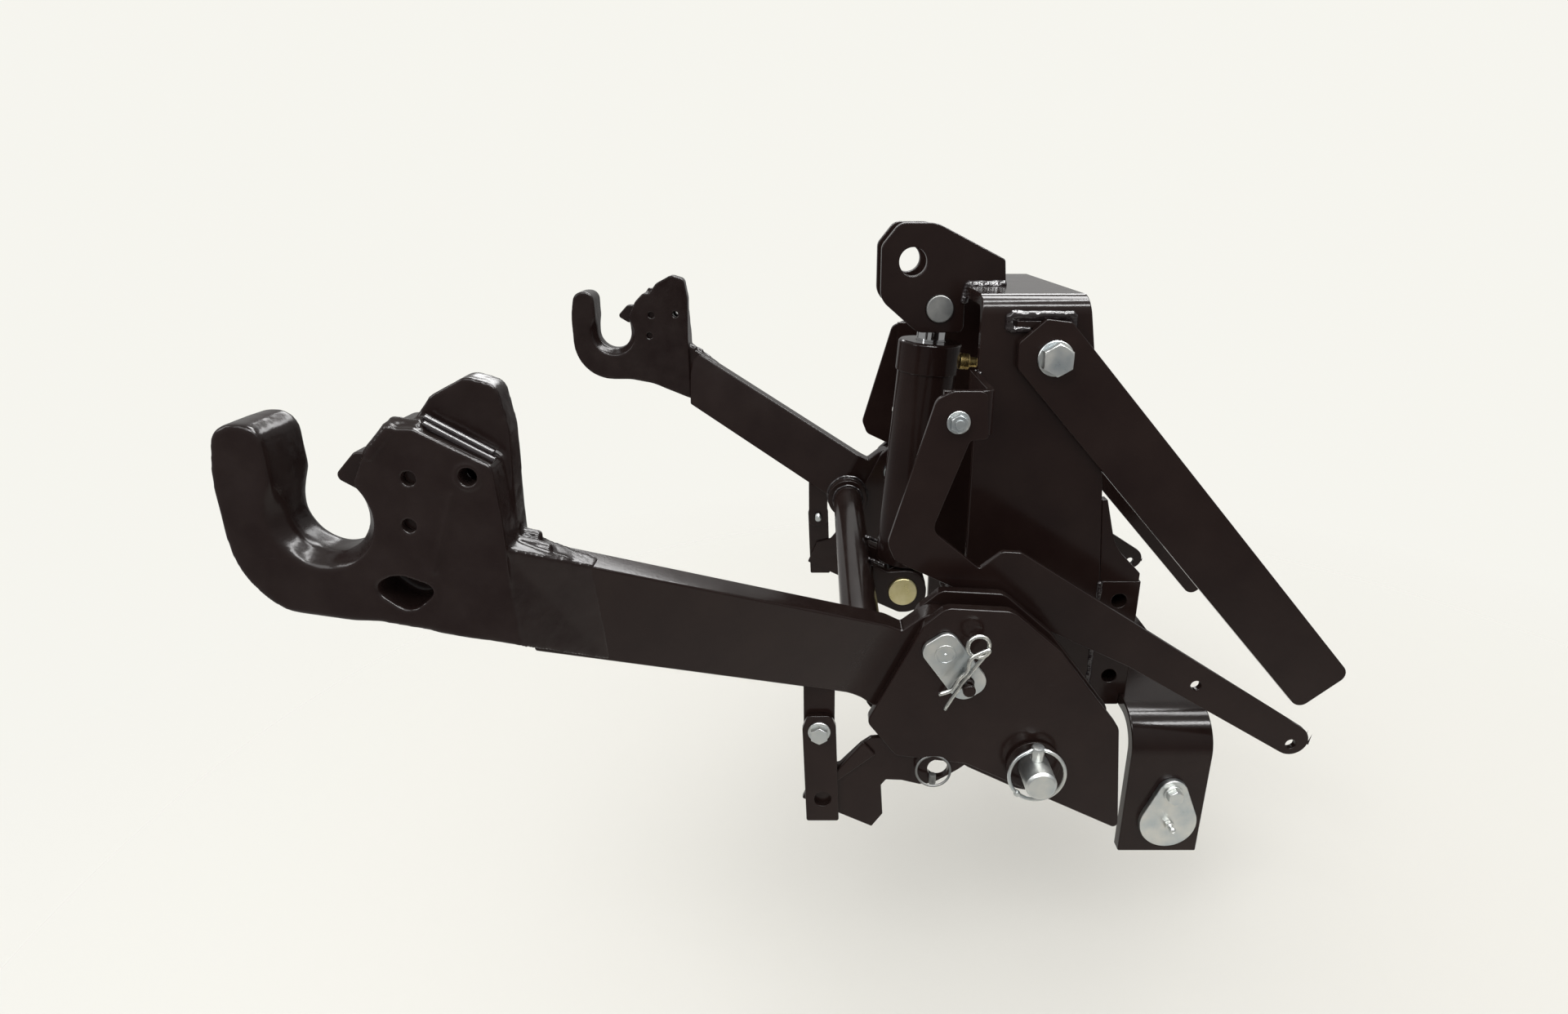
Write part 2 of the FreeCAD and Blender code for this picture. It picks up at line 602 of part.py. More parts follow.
def make_cheeks():
    """Rocker cheeks, their spacers, the cross tube and the cylinder lugs."""
    corners = [
        (PIVOT.x - 136, PIVOT.z + 39, 8), (FLAG.x - 17, FLAG.z + 22, 14), (FLAG.x, FLAG.z + 37, 10),
        (FLAG.x + 51, FLAG.z + 34, 16), (PIVOT.x + 14, PIVOT.z + 102, 20),
        (PIVOT.x + 67, PIVOT.z + 33, 14), (PIVOT.x + 78, PIVOT.z - 67, 4),
        (PIVOT.x - 54, PIVOT.z - 1, 8), (PIVOT.x - 112, PIVOT.z + 7, 8),
    ]
    holes = (
        (PIVOT.x, PIVOT.z, "sizes.pivot_radius + sizes.running_gap"),
        (FLAG.x, FLAG.z, "sizes.flag_radius"),
    )
    outer = f"-{cheek_outer_face() - dim.cheek_wall}"
    both_sides("cheek_outer", plate("outer_cheek", outline(corners), "sizes.cheek_wall", outer, holes))
    inner_body = plate("inner_cheek", outline(corners), "sizes.cheek_wall", "-sizes.cheek_inner_face", holes)
    both_sides("cheek_inner", inner_body)

    gap = dim.arm_wall + 2 * dim.arm_side_gap
    spacer = box("spacer", (20, gap, 42),
                 Vector(PIVOT.x + 48, -(dim.cheek_inner_face + dim.cheek_wall + gap),
                        PIVOT.z - 44))
    as_pair("cheek_spacers", spacer)

    tube_base = Vector(dim.cross_tube_x, -dim.cheek_inner_face, dim.cross_tube_z)
    tube = cylinder("tube", "sizes.cross_tube_radius", "2 * sizes.cheek_inner_face",
                    tube_base, -LEFTWARD)
    bore = cylinder("tube_bore", "sizes.cross_tube_radius - 5", "2 * sizes.cheek_inner_face",
                    tube_base, -LEFTWARD)
    keep("cross_tube", cut("cross_tube_hollow", tube, bore))
    collar_outer = cylinder("collar_outer", "sizes.cross_tube_radius + 7", "18",
                            tube_base, -LEFTWARD)
    collar_bore = cylinder("collar_bore", "sizes.cross_tube_radius", "18", tube_base, -LEFTWARD)
    as_pair("tube_collars", cut("collar", collar_outer, collar_bore))

    eye = dim.base_eye_radius - 0.5
    lug = doc.addObject("PartDesign::Body", "base_lug")
    sketch = new_sketch(lug, "XZ_Plane", "base_lug_outline")
    sketch.addGeometry(outline([
        (BASE_PIN.x - 4, BASE_PIN.z - eye, 12), (BASE_PIN.x + eye, BASE_PIN.z - eye, eye - 2),
        (BASE_PIN.x + eye, BASE_PIN.z + eye, eye - 2), (BASE_PIN.x - 16, BASE_PIN.z + eye - 3, 8),
        (dim.cross_tube_x + 2, dim.cross_tube_z + 14), (dim.cross_tube_x + 2, dim.cross_tube_z - 14),
        (BASE_PIN.x - 30, BASE_PIN.z - 12, 10),
    ]))
    add_hole(sketch, BASE_PIN.x, BASE_PIN.z, "sizes.base_pin_radius")
    pad(lug, sketch, "base_lug_pad", "sizes.base_lug_wall")
    lug.setExpression("Placement.Base.y", "-sizes.base_lug_gap / 2")
    tube_cut = cylinder("lug_cope", "sizes.cross_tube_radius", "40",
                        Vector(dim.cross_tube_x, -60, dim.cross_tube_z), -LEFTWARD)
    seam_away = Rotation(Vector(0, 1, 0), 180).multiply(Rotation(Vector(0, 0, 1), -LEFTWARD))
    tube_cut.Placement = Placement(tube_cut.Placement.Base, seam_away)
    both_sides("cylinder_lug", cut("cylinder_lug_coped", lug, tube_cut))
    pin_reach = dim.base_lug_gap / 2 + dim.base_lug_wall + 3
    pin = cylinder("base_pin_solid", "sizes.base_pin_radius",
                   "sizes.base_lug_gap + 2 * sizes.base_lug_wall + 6",
                   BASE_PIN + LEFTWARD * pin_reach, -LEFTWARD)
    keep("cylinder_base_pin", pin)


def make_flag_pins():
    """Locking pins of the lower links with their studs and spring clips."""
    face = cheek_outer_face()
    x, z = FLAG.x, FLAG.z
    shaft = cylinder("flag_shaft", "sizes.flag_radius",
                     "2 * sizes.cheek_wall + sizes.arm_wall + 2 * sizes.arm_side_gap + 10",
                     FLAG + LEFTWARD * (face + 2), -LEFTWARD)
    direction = Vector(18, 0, -25).normalize()
    slope = math.degrees(math.atan2(-direction.z, direction.x))
    flag = doc.addObject("PartDesign::Body", "flag")
    sketch = new_sketch(flag, "XZ_Plane", "flag_outline")
    sketch.addGeometry(outline([
        (-16, -15, 10), (44, -15, 12), (44, 15, 12), (-16, 15, 10),
    ]))
    add_hole(sketch, Vector(18, 0, -25).Length, 0, "5.4")
    pad(flag, sketch, "flag_pad", "5")
    flag.Placement = Placement(Vector(x, -face - 0.3, z), Rotation(Vector(0, 1, 0), slope))
    both_sides("flag_pin", fuse("flag_pin_solid", [shaft, flag]))

    stud_at = FLAG + Vector(18, 0, -25)
    stud = cylinder("stud_rod", "5", "18", stud_at + LEFTWARD * face, LEFTWARD)
    clip_y = face + 12.0
    leg_axis = Vector(1, 0, 2.7).normalize()
    hole_start = stud_at + Vector(0, -clip_y, 0) - leg_axis * 10
    clip_hole = cylinder("stud_hole", "2.3", "20", hole_start, leg_axis)
    as_pair("flag_studs", cut("flag_stud_drilled", stud, clip_hole))

    # Spring clip: one straight leg through the stud, a coil, and a sprung leg beside it
    start = stud_at + Vector(0, -clip_y, 0) - leg_axis * 20
    leg = cylinder("clip_leg", "2", "44", start, leg_axis)
    coil = doc.addObject("Part::Torus", "clip_coil")
    coil.Radius1 = 10.0
    coil.Radius2 = 2.0
    coil.Placement = Placement(start + leg_axis * 53, Rotation(Vector(0, 0, 1), LEFTWARD))
    both_sides("spring_clip", fuse("spring_clip_solid", [leg, coil]))


def make_arms():
    """Lower links: bent flat bars that splay out to the hooks."""
    slope = math.radians(dim.arm_slope)
    middle = arm_middle()
    bend = (dim.pivot_x - dim.arm_bend_x) / math.cos(slope)
    run = (dim.arm_bend_x - dim.arm_end_x) / math.cos(slope)
    splay = math.atan2(dim.arm_end_y - middle, run)
    half = dim.arm_wall / 2
    miter = half * math.tan(splay / 2)
    extra = 60.0
    end = Vector(-bend - run - extra * math.cos(splay),
                 -(dim.arm_end_y - middle) - extra * math.sin(splay), 0)
    normal = Vector(-math.sin(splay), math.cos(splay), 0) * half

    body = doc.addObject("PartDesign::Body", "arm")
    plan = new_sketch(body, "XY_Plane", "arm_plan", dim.arm_offset - dim.arm_height / 2)
    plan.addGeometry(outline([
        (0, half), (-bend - miter, half, 12), (end.x + normal.x, end.y + normal.y),
        (end.x - normal.x, end.y - normal.y), (-bend + miter, -half, 32), (0, -half),
    ]))
    pad(body, plan, "arm_bar", "sizes.arm_height")
    low = dim.arm_offset - dim.arm_height / 2
    high = dim.arm_offset + dim.arm_height / 2
    flag_local = Rotation(Vector(0, 1, 0), -dim.arm_slope).multVec(FLAG - PIVOT)
    rear = new_sketch(body, "XZ_Plane", "arm_root")
    rear.addGeometry(outline([
        (34, -34, 30), (34, 42, 24), (flag_local.x + 26, flag_local.z + 23, 20),
        (flag_local.x - 22, flag_local.z + 23, 20), (-bend + 12, high, 4), (-bend + 12, low),
        (-40, -34, 30),
    ]))
    pad(body, rear, "arm_root_pad", "sizes.arm_wall", midplane=True)
    holes = new_sketch(body, "XZ_Plane", "arm_holes")
    add_hole(holes, 0, 0, "sizes.pivot_radius + sizes.running_gap")
    add_hole(holes, flag_local.x, flag_local.z, "sizes.flag_radius")
    pocket(body, holes, "arm_pin_pocket", "4 * sizes.arm_wall", midplane=True)
    body.Placement = Placement(Vector(dim.pivot_x, -middle, dim.pivot_z),
                               Rotation(Vector(0, 1, 0), dim.arm_slope))
    stop = box("arm_end_cut", (200, 300, 400),
               Vector(dim.arm_end_x - 200, -dim.arm_end_y - 150, dim.hook_z - 250))
    both_sides("lift_arm", cut("arm_trimmed", body, stop))


def make_hooks():
    """Catch hooks, latches and latch pins."""
    x, z = HOOK.x, HOOK.z
    seat = dim.ball_seat_radius
    half = dim.hook_wall / 2
    body = doc.addObject("PartDesign::Body", "hook")
    sketch = new_sketch(body, "XZ_Plane", "hook_outline")
    back = dim.arm_end_x
    sketch.addGeometry(outline([
        (x - 50, z + 55, 14), (x - seat, z + 55, 12), (x - seat, z - seat, seat - 0.1),
        (x + seat, z - seat, seat - 0.1), (x + seat, z + 22, 3), (x + 33, z + 42, 10),
        (x + 44, z + 53, 7), (x + 60, z + 53, 5), (back - 2, z + 31, 5), (back, z - 6, 4),
        (back, z - 92), (x + 51, z - 71, 40), (x + 20, z - 65, 30), (x - 56, z - 65, 52),
        (x - 56, z + 24, 40),
    ]))
    pad(body, sketch, "hook_pad", "sizes.hook_wall", midplane=True)
    ear = new_sketch(body, "XZ_Plane", "hook_ear", -half)
    ear.addGeometry(outline([
        (x + 42, z + 40, 6), (x + 63, z + 66, 10), (x + 84, z + 77, 8), (x + 101, z + 72, 8),
        (back + 2, z + 46, 6), (back, z - 6), (x + 60, z - 6),
    ]))
    pad(body, ear, "hook_ear_pad", "sizes.hook_wall * 0.45")
    slot = new_sketch(body, "XZ_Plane", "latch_slot")
    slot.addGeometry(outline([
        (x + seat - 2, z + 12), (x + seat - 2, z + 36), (x + 92, z + 36, 4), (x + 92, z + 12, 4),
    ]))
    pocket(body, slot, "latch_slot_pocket", "sizes.latch_wall + 1", midplane=True)
    holes = new_sketch(body, "XZ_Plane", "hook_holes")
    for dx, dz in ((54, 24), (50, -4), (87, 25)):
        add_hole(holes, x + dx, z + dz, "sizes.latch_pin_radius + 0.05")
    pocket(body, holes, "hook_hole_pocket", "2 * sizes.hook_wall", midplane=True)
    lens = new_sketch(body, "XZ_Plane", "lens_window", half)
    lens.addGeometry(outline([
        (x + 22, z - 44, 5), (x + 36, z - 33, 16), (x + 62, z - 44, 5), (x + 42, z - 60, 12),
    ]))
    pocket(body, lens, "lens_pocket", "sizes.hook_wall * 0.6")
    body.Placement.Base = Vector(0, -dim.hook_y, 0)
    both_sides("hook", body)

    play = 0.4
    latch = doc.addObject("PartDesign::Body", "latch")
    nose = new_sketch(latch, "XZ_Plane", "latch_outline")
    nose.addGeometry(outline([
        (x + 5, z + 21, 4), (x + 19, z + 36 - play, 3), (x + 70, z + 36 - play, 2),
        (x + 70, z + 12 + play, 2), (x + 19, z + 12 + play, 4),
    ]))
    pad(latch, nose, "latch_pad", "sizes.latch_wall", midplane=True)
    guide = new_sketch(latch, "XZ_Plane", "latch_guide")
    radius = dim.latch_pin_radius + play
    guide.addGeometry(outline([
        (x + 54 - dim.latch_travel - radius - 1, z + 24 - radius, radius - 0.1),
        (x + 54 + radius, z + 24 - radius, radius - 0.1),
        (x + 54 + radius, z + 24 + radius, radius - 0.1),
        (x + 54 - dim.latch_travel - radius - 1, z + 24 + radius, radius - 0.1),
    ]))
    pocket(latch, guide, "latch_guide_pocket", "2 * sizes.latch_wall", midplane=True)
    latch.Placement.Base = Vector(0, -dim.hook_y, 0)
    both_sides("hook_latch", latch)

    length = dim.hook_wall - 10
    pins = [cylinder(f"latch_pin_{index}", "sizes.latch_pin_radius", "sizes.hook_wall - 10",
                     Vector(x + dx, -dim.hook_y - length / 2, z + dz), -LEFTWARD)
            for index, (dx, dz) in enumerate(((54, 24), (50, -4)))]
    as_pair("latch_pins", group("latch_pin_set", pins))


def make_cylinder():
    """Lift cylinder: barrel, gland, rod with eye, piston, pins and port."""
    axis = (TOP_PIN - BASE_PIN).normalize()
    length = (TOP_PIN - BASE_PIN).Length
    turn = Rotation(Vector(0, 0, 1), axis)

    pin_reach = dim.lug_gap / 2 + dim.lug_wall + 3
    pin = cylinder("top_pin_solid", "sizes.top_pin_radius",
                   "sizes.lug_gap + 2 * sizes.lug_wall + 6",
                   TOP_PIN + LEFTWARD * pin_reach, -LEFTWARD)
    keep("cylinder_top_pin", pin)

    foot = dim.base_eye_radius + 0.4
    floor = 12.0
    gland_top = length - dim.top_eye_radius - 10.0
    barrel_top = gland_top - dim.gland_length
    tube = doc.addObject("PartDesign::Body", "barrel")
    section = new_sketch(tube, "XZ_Plane", "barrel_section")
    section.addGeometry(outline([
        (0, foot), (dim.barrel_radius, foot), (dim.barrel_radius, barrel_top),
        (dim.bore_radius, barrel_top), (dim.bore_radius, foot + floor), (0, foot + floor),
    ]))
    turned = tube.newObject("PartDesign::Revolution", "barrel_revolution")
    turned.Profile = section
    turned.ReferenceAxis = (section, ["V_Axis"])
    turned.Angle = 360.0
    tube.Placement = Placement(BASE_PIN, turn)
    keep("cylinder_barrel", tube)

    gland = doc.addObject("PartDesign::Body", "gland")
    ring = new_sketch(gland, "XZ_Plane", "gland_section")
    inner = dim.rod_radius + dim.running_gap
    ring.addGeometry(outline([
        (inner, barrel_top), (dim.gland_radius, barrel_top), (dim.gland_radius, gland_top - 2),
        (dim.gland_radius - 2, gland_top), (inner, gland_top),
    ]))
    gland_turn = gland.newObject("PartDesign::Revolution", "gland_revolution")
    gland_turn.Profile = ring
    gland_turn.ReferenceAxis = (ring, ["V_Axis"])
    gland_turn.Angle = 360.0
    gland.Placement = Placement(BASE_PIN, turn)
    keep("cylinder_gland", gland)

    # Base eye: stays round its pin, the barrel's foot stands on it
    base_ring = doc.addObject("PartDesign::Body", "base_ring")
    eye_sketch = new_sketch(base_ring, "XZ_Plane", "base_ring_section")
    add_hole(eye_sketch, BASE_PIN.x, BASE_PIN.z, "sizes.base_eye_radius")
    add_hole(eye_sketch, BASE_PIN.x, BASE_PIN.z, "sizes.base_pin_radius")
    pad(base_ring, eye_sketch, "base_ring_pad", "sizes.eye_width", midplane=True)
    keep("cylinder_base_eye", base_ring)

    # Rod with its eye, and the piston on its inner end, close to the barrel's floor
    rod_length = length - (foot + floor + 2.0 + dim.piston_length)
    rod = cylinder("rod_bar", "sizes.rod_radius", str(rod_length), TOP_PIN, axis * -1)
    ring_outer = cylinder("rod_eye_outer", "sizes.top_eye_radius", "sizes.eye_width",
                          TOP_PIN + LEFTWARD * (dim.eye_width / 2), -LEFTWARD)
    ring_hole = cylinder("rod_eye_hole", "sizes.top_pin_radius + sizes.running_gap",
                         "sizes.eye_width", TOP_PIN + LEFTWARD * (dim.eye_width / 2), -LEFTWARD)
    solid = fuse("rod_and_eye", [rod, ring_outer])
    keep("piston_rod", cut("piston_rod_solid", solid, ring_hole))
    piston = cylinder("piston_disc", "sizes.bore_radius - sizes.running_gap",
                      "sizes.piston_length", TOP_PIN - axis * rod_length, axis * -1)
    keep("piston", piston)

    port_axis = turn.multVec(Vector(1, 0, 0))
    port_at = BASE_PIN + axis * (barrel_top + 12)
    port = fuse("port_solid", [
        cylinder("port_nut", "8", "9", port_at + port_axis * dim.gland_radius, port_axis),
        cylinder("port_stem", "5", "8", port_at + port_axis * (dim.gland_radius + 9), port_axis),
    ])
    keep("hydraulic_port", port)


def make_brackets():
    """Tabs welded under the lower links, with the drilled plates bolted to them."""
    half = dim.bracket_width / 2
    x, z = dim.bracket_bolt_x, dim.bracket_bolt_z
    hole_x, hole_z = dim.bracket_hole_x, dim.bracket_hole_z
    slope = math.radians(dim.arm_slope)
    drop = (dim.arm_height / 2 - dim.arm_offset) / math.cos(slope)

    def under_arm(at):
        """Height of the lower link's underside above a point on the X axis."""
        return dim.pivot_z + (dim.pivot_x - at) * math.tan(slope) - drop

    left, right = x - half + 1, x + half - 1
    tab = plate("bracket_tab", outline([
        (left, under_arm(left)), (right, under_arm(right)), (right, z - 14, 8), (left, z - 14, 8),
    ]), "sizes.bracket_tab_wall", "-(sizes.bracket_face - sizes.bracket_tab_wall)",
        holes=((x, z, "sizes.stay_hole_radius"),))
    as_pair("bracket_tabs", tab)
    bracket = plate("bracket", outline([
        (x - half + 4, z + 14, 5), (x + half - 4, z + 14, 5), (x + half, z + 4, 4),
        (hole_x + half, hole_z - 22, 2), (hole_x - half, hole_z - 22, 2), (x - half, z + 2, 4),
    ]), "sizes.bracket_wall", "-sizes.bracket_face", holes=(
        (x, z, "sizes.stay_hole_radius"), (hole_x, hole_z, "sizes.bracket_hole_radius"),
    ))
    both_sides("arm_bracket", bracket)
    outer = -(dim.bracket_face + dim.bracket_wall)
    bolt = fuse("bracket_bolt_solid", [
        disc("bracket_flange", 9.0, 1.8, x, outer, z),
        hex_prism("bracket_head", 13.0, 6.0, x, outer - 1.8, z),
        cylinder("bracket_shank", "sizes.stay_bolt_radius",
                 "sizes.bracket_wall + sizes.bracket_tab_wall + 10", Vector(x, outer, z), -LEFTWARD),
    ])
    as_pair("bracket_bolts", bolt)


make_frame()
make_saddle()
make_braces()
make_stays()
make_pivot()
make_cheeks()
make_flag_pins()
make_arms()
make_hooks()
make_cylinder()
make_brackets()
doc.recompute()

for item in doc.Objects:
    states = [state for state in item.State if state in ("Invalid", "Error")]
    if states:
        raise RuntimeError(f"{item.Name} ({item.Label}) did not compute: {states}")
for label, piece in pieces.items():
    if piece.Shape.isNull() or not piece.Shape.isValid() or not piece.Shape.Solids:
        raise RuntimeError(f"{label} has no valid solid")

os.makedirs("parts", exist_ok=True)
for label, piece in pieces.items():
    piece.Shape.exportStep(f"parts/{label}.step")
print(len(pieces), "pieces written")
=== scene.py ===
"""Front three-point linkage: painted plate work, plated pins and bolts, welds and hooks."""

import logging
import math
from collections.abc import Iterable, Iterator
from contextlib import contextmanager
from dataclasses import dataclass
from enum import Enum
from typing import ClassVar

import bpy
from mathutils import Matrix, Vector


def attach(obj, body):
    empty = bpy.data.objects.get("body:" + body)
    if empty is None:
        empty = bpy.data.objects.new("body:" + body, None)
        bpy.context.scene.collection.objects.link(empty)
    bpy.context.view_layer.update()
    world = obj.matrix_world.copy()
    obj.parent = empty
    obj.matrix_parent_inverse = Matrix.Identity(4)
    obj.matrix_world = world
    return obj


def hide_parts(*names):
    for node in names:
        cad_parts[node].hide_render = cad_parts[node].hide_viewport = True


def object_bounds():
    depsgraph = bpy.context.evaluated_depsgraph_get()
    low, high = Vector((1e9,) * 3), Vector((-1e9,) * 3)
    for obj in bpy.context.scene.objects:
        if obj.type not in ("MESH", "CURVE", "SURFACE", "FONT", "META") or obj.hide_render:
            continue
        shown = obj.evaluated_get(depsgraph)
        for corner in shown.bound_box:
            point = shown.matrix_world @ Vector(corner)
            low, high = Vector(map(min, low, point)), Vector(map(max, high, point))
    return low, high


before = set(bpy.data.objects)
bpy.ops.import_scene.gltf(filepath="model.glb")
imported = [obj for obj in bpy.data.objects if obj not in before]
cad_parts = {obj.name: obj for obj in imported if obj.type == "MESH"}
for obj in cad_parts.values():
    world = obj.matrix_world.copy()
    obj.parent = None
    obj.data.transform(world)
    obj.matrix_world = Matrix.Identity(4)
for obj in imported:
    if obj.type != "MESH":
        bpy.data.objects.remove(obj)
cad_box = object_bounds()

logging.basicConfig(level=logging.INFO, format="%(message)s")
log = logging.getLogger("linkage")

Object = bpy.types.Object
Node = bpy.types.Node
Socket = bpy.types.NodeSocket
Tree = bpy.types.NodeTree
Point = tuple[float, float, float]
Spot = tuple[float, float]
Colour = tuple[float, float, float]

MM = 0.001
TOUCHING = 0.001 * MM  # points closer than this are one
CAD_TOUCHING = 0.002 * MM
OUTWARD = Vector((0, -1, 0))  # away from the mid-plane on the left side, which is modelled
INWARD = Vector((0, 1, 0))
REARWARD = Vector((1, 0, 0))
UP = Vector((0, 0, 1))


class Body(Enum):
    """The CAD bodies that pieces ride on."""

    FRAME = "frame"
    ROCKER = "rocker"
    ROD = "rod"
    BARREL = "barrel"
    LATCH_LEFT = "latch_left"
    LATCH_RIGHT = "latch_right"


class Slot(Enum):
    """The record's material slots."""

    PAINT = "black_paint"
    ZINC = "zinc"
    PIN = "pin_steel"
    BRASS = "brass"


class Side(Enum):
    """The two sides of the linkage; the left one is at minus Y."""

    LEFT = "left"
    RIGHT = "right"


def mm(x: float, y: float, z: float) -> Vector:
    """Point given in millimetres, in metres."""
    return Vector((x, y, z)) * MM


def standing(base: Vector, axis: Vector) -> Matrix:
    """Matrix that stands an upright piece on a base point, along an axis."""
    return Matrix.Translation(base) @ axis.to_track_quat("Z", "Y").to_matrix().to_4x4()


def arc(steps: int, start: float, sweep: float) -> list[Spot]:
    """Cosines and sines at even steps from a start angle through a sweep, in degrees."""
    turns = [math.radians(start + step * sweep / (steps - 1)) for step in range(steps)]
    return [(math.cos(turn), math.sin(turn)) for turn in turns]


# Modelling bench


def clear() -> None:
    """Leave edit mode and deselect everything."""
    if bpy.context.mode != "OBJECT":
        bpy.ops.object.mode_set(mode="OBJECT")
    bpy.ops.object.select_all(action="DESELECT")


def take(piece: Object) -> None:
    """Make one object the only selected and active one.

    Args:
        piece: The object.
    """
    clear()
    piece.select_set(True)
    bpy.context.view_layer.objects.active = piece


def fresh(name: str) -> Object:
    """Name the object that an operator has just made, and return it."""
    bpy.context.object.name = name
    return bpy.context.object


def settle(piece: Object) -> None:
    """Put an object's place into its mesh."""
    take(piece)
    bpy.ops.object.transform_apply(location=True, rotation=True, scale=True)


@contextmanager
def editing(piece: Object) -> Iterator[None]:
    """Edit mode on one object, with all of it selected at first.

    Args:
        piece: The object.
    """
    take(piece)
    bpy.ops.object.mode_set(mode="EDIT")
    bpy.ops.mesh.select_all(action="SELECT")
    yield
    bpy.ops.object.mode_set(mode="OBJECT")


def closed(piece: Object, merge: float = 0.0) -> None:
    """Turn a piece's faces outwards.

    Args:
        piece: The piece to change.
        merge: Points closer than this in metres are merged first.
    """
    with editing(piece):
        if merge:
            bpy.ops.mesh.remove_doubles(threshold=merge)
        bpy.ops.mesh.normals_make_consistent(inside=False)


def modify(piece: Object, kind: str, **settings: object) -> None:
    """Add a modifier and apply it.

    Args:
        piece: The object to change.
        kind: Blender's name of the modifier type.
        settings: The modifier's values by property name.
    """
    modifier = piece.modifiers.new(kind.lower(), kind)
    for name, value in settings.items():
        setattr(modifier, name, value)
    take(piece)
    bpy.ops.object.modifier_apply(modifier=modifier.name)


def bevelled(piece: Object, width: float, segments: int = 2, **limits: object) -> None:
    """Break a piece's sharp edges; the width is in millimetres."""
    modify(piece, "BEVEL", width=width * MM, segments=segments, limit_method="ANGLE", **limits)


def carved(piece: Object, cutter: Object, operation: str = "DIFFERENCE") -> None:
    """Cut a piece by a boolean operation with a cutter, which is used up."""
    modify(piece, "BOOLEAN", operation=operation, object=cutter, solver="EXACT")
    bpy.data.objects.remove(cutter)


def melted(piece: Object, voxel: float, rounds: int) -> None:
    """Fuse what overlaps into one skin of a voxel's size, smoothed some rounds."""
    modify(piece, "REMESH", mode="VOXEL", voxel_size=voxel * MM, use_smooth_shade=True)
    modify(piece, "SMOOTH", factor=0.5, iterations=rounds)


def roughened(piece: Object, scale: float, strength: float) -> None:
    """Push a piece's surface in and out by clouds and shade it smooth.

    Args:
        piece: The piece to change.
        scale: Size of the clouds in millimetres.
        strength: How far the surface moves in all, in millimetres.
    """
    clouds = bpy.data.textures.new(f"{piece.name}_clouds", "CLOUDS")
    clouds.noise_scale = scale * MM
    modify(piece, "DISPLACE", texture=clouds, texture_coords="LOCAL",
           strength=strength * MM, mid_level=0.5)
    bpy.ops.object.shade_smooth()


def smooth(piece: Object, degrees: float = 35.0) -> None:
    """Shade smooth with normals that keep flats flat.

    Args:
        piece: The piece to change.
        degrees: Edges sharper than this stay sharp.
    """
    take(piece)
    bpy.ops.object.shade_smooth_by_angle(angle=math.radians(degrees))
    modify(piece, "WEIGHTED_NORMAL", keep_sharp=True, weight=60)


def rod(radius: float, length: float, base: Vector, axis: Vector, sides: int = 32) -> Object:
    """Round bar from a base point along an axis.

    Args:
        radius: Radius in millimetres.
        length: Length in millimetres.
        base: Centre of its first end.
        axis: Direction it runs in, of length 1.
        sides: Number of sides of its section.

    Returns:
        The bar, with its place in its mesh.
    """
    clear()
    bpy.ops.mesh.primitive_cylinder_add(
        vertices=sides, radius=radius * MM, depth=length * MM,
        location=base + axis * (length * MM / 2),
        rotation=axis.to_track_quat("Z", "Y").to_euler())
    bar = bpy.context.object
    settle(bar)
    return bar


def turned(profile: list[Spot], base: Vector, axis: Vector, steps: int = 32) -> Object:
    """Turned piece: a profile of (radius, height) spun round an axis.

    Args:
        profile: Corners in millimetres, from the first end to the last.
        base: Point that height 0 stands on.
        axis: Direction of height.
        steps: Number of steps round.

    Returns:
        The closed turned piece.
    """
    clear()
    bpy.ops.mesh.primitive_plane_add(size=MM)
    piece = bpy.context.object
    with editing(piece):
        bpy.ops.mesh.delete(type="VERT")
    mesh = piece.data
    mesh.vertices.add(len(profile))
    for vertex, (radius, height) in zip(mesh.vertices, profile):
        vertex.co = mm(radius, 0.0, height)
    mesh.edges.add(len(profile) - 1)
    for index, edge in enumerate(mesh.edges):
        edge.vertices = (index, index + 1)
    with editing(piece):
        bpy.ops.mesh.spin(steps=steps, angle=math.tau, center=(0, 0, 0), axis=(0, 0, 1))
    closed(piece, TOUCHING)
    piece.matrix_world = standing(base, axis)
    settle(piece)
    return piece


def block(corners: list[Point]) -> Object:
    """Six-sided block with its eight corners placed one by one.

    Args:
        corners: Corners in millimetres; x changes slowest, then y, then z.

    Returns:
        The block.
    """
    clear()
    bpy.ops.mesh.primitive_cube_add(size=MM)
    piece = bpy.context.object
    order = sorted(piece.data.vertices, key=lambda vertex: tuple(vertex.co))
    for vertex, corner in zip(order, corners):
        vertex.co = mm(*corner)
    closed(piece)
    return piece


def plate(corners: list[Spot], face: float, wall: float) -> Object:
    """Flat plate cut to an outline in the XZ plane.

    Args:
        corners: Outline points as (x, z) in millimetres.
        face: Y of the plate's first face in millimetres.
        wall: Thickness towards +Y in millimetres.

    Returns:
        The plate, with broken edges.
    """
    clear()
    bpy.ops.mesh.primitive_circle_add(vertices=len(corners), radius=MM, fill_type="NGON")
    piece = bpy.context.object
    for vertex, (x, z) in zip(piece.data.vertices, corners):
        vertex.co = mm(x, face, z)
    with editing(piece):
        bpy.ops.mesh.extrude_region_move(TRANSFORM_OT_translate={"value": (0, wall * MM, 0)})
    closed(piece)
    bevelled(piece, 0.8, angle_limit=math.radians(50))
    smooth(piece)
    return piece


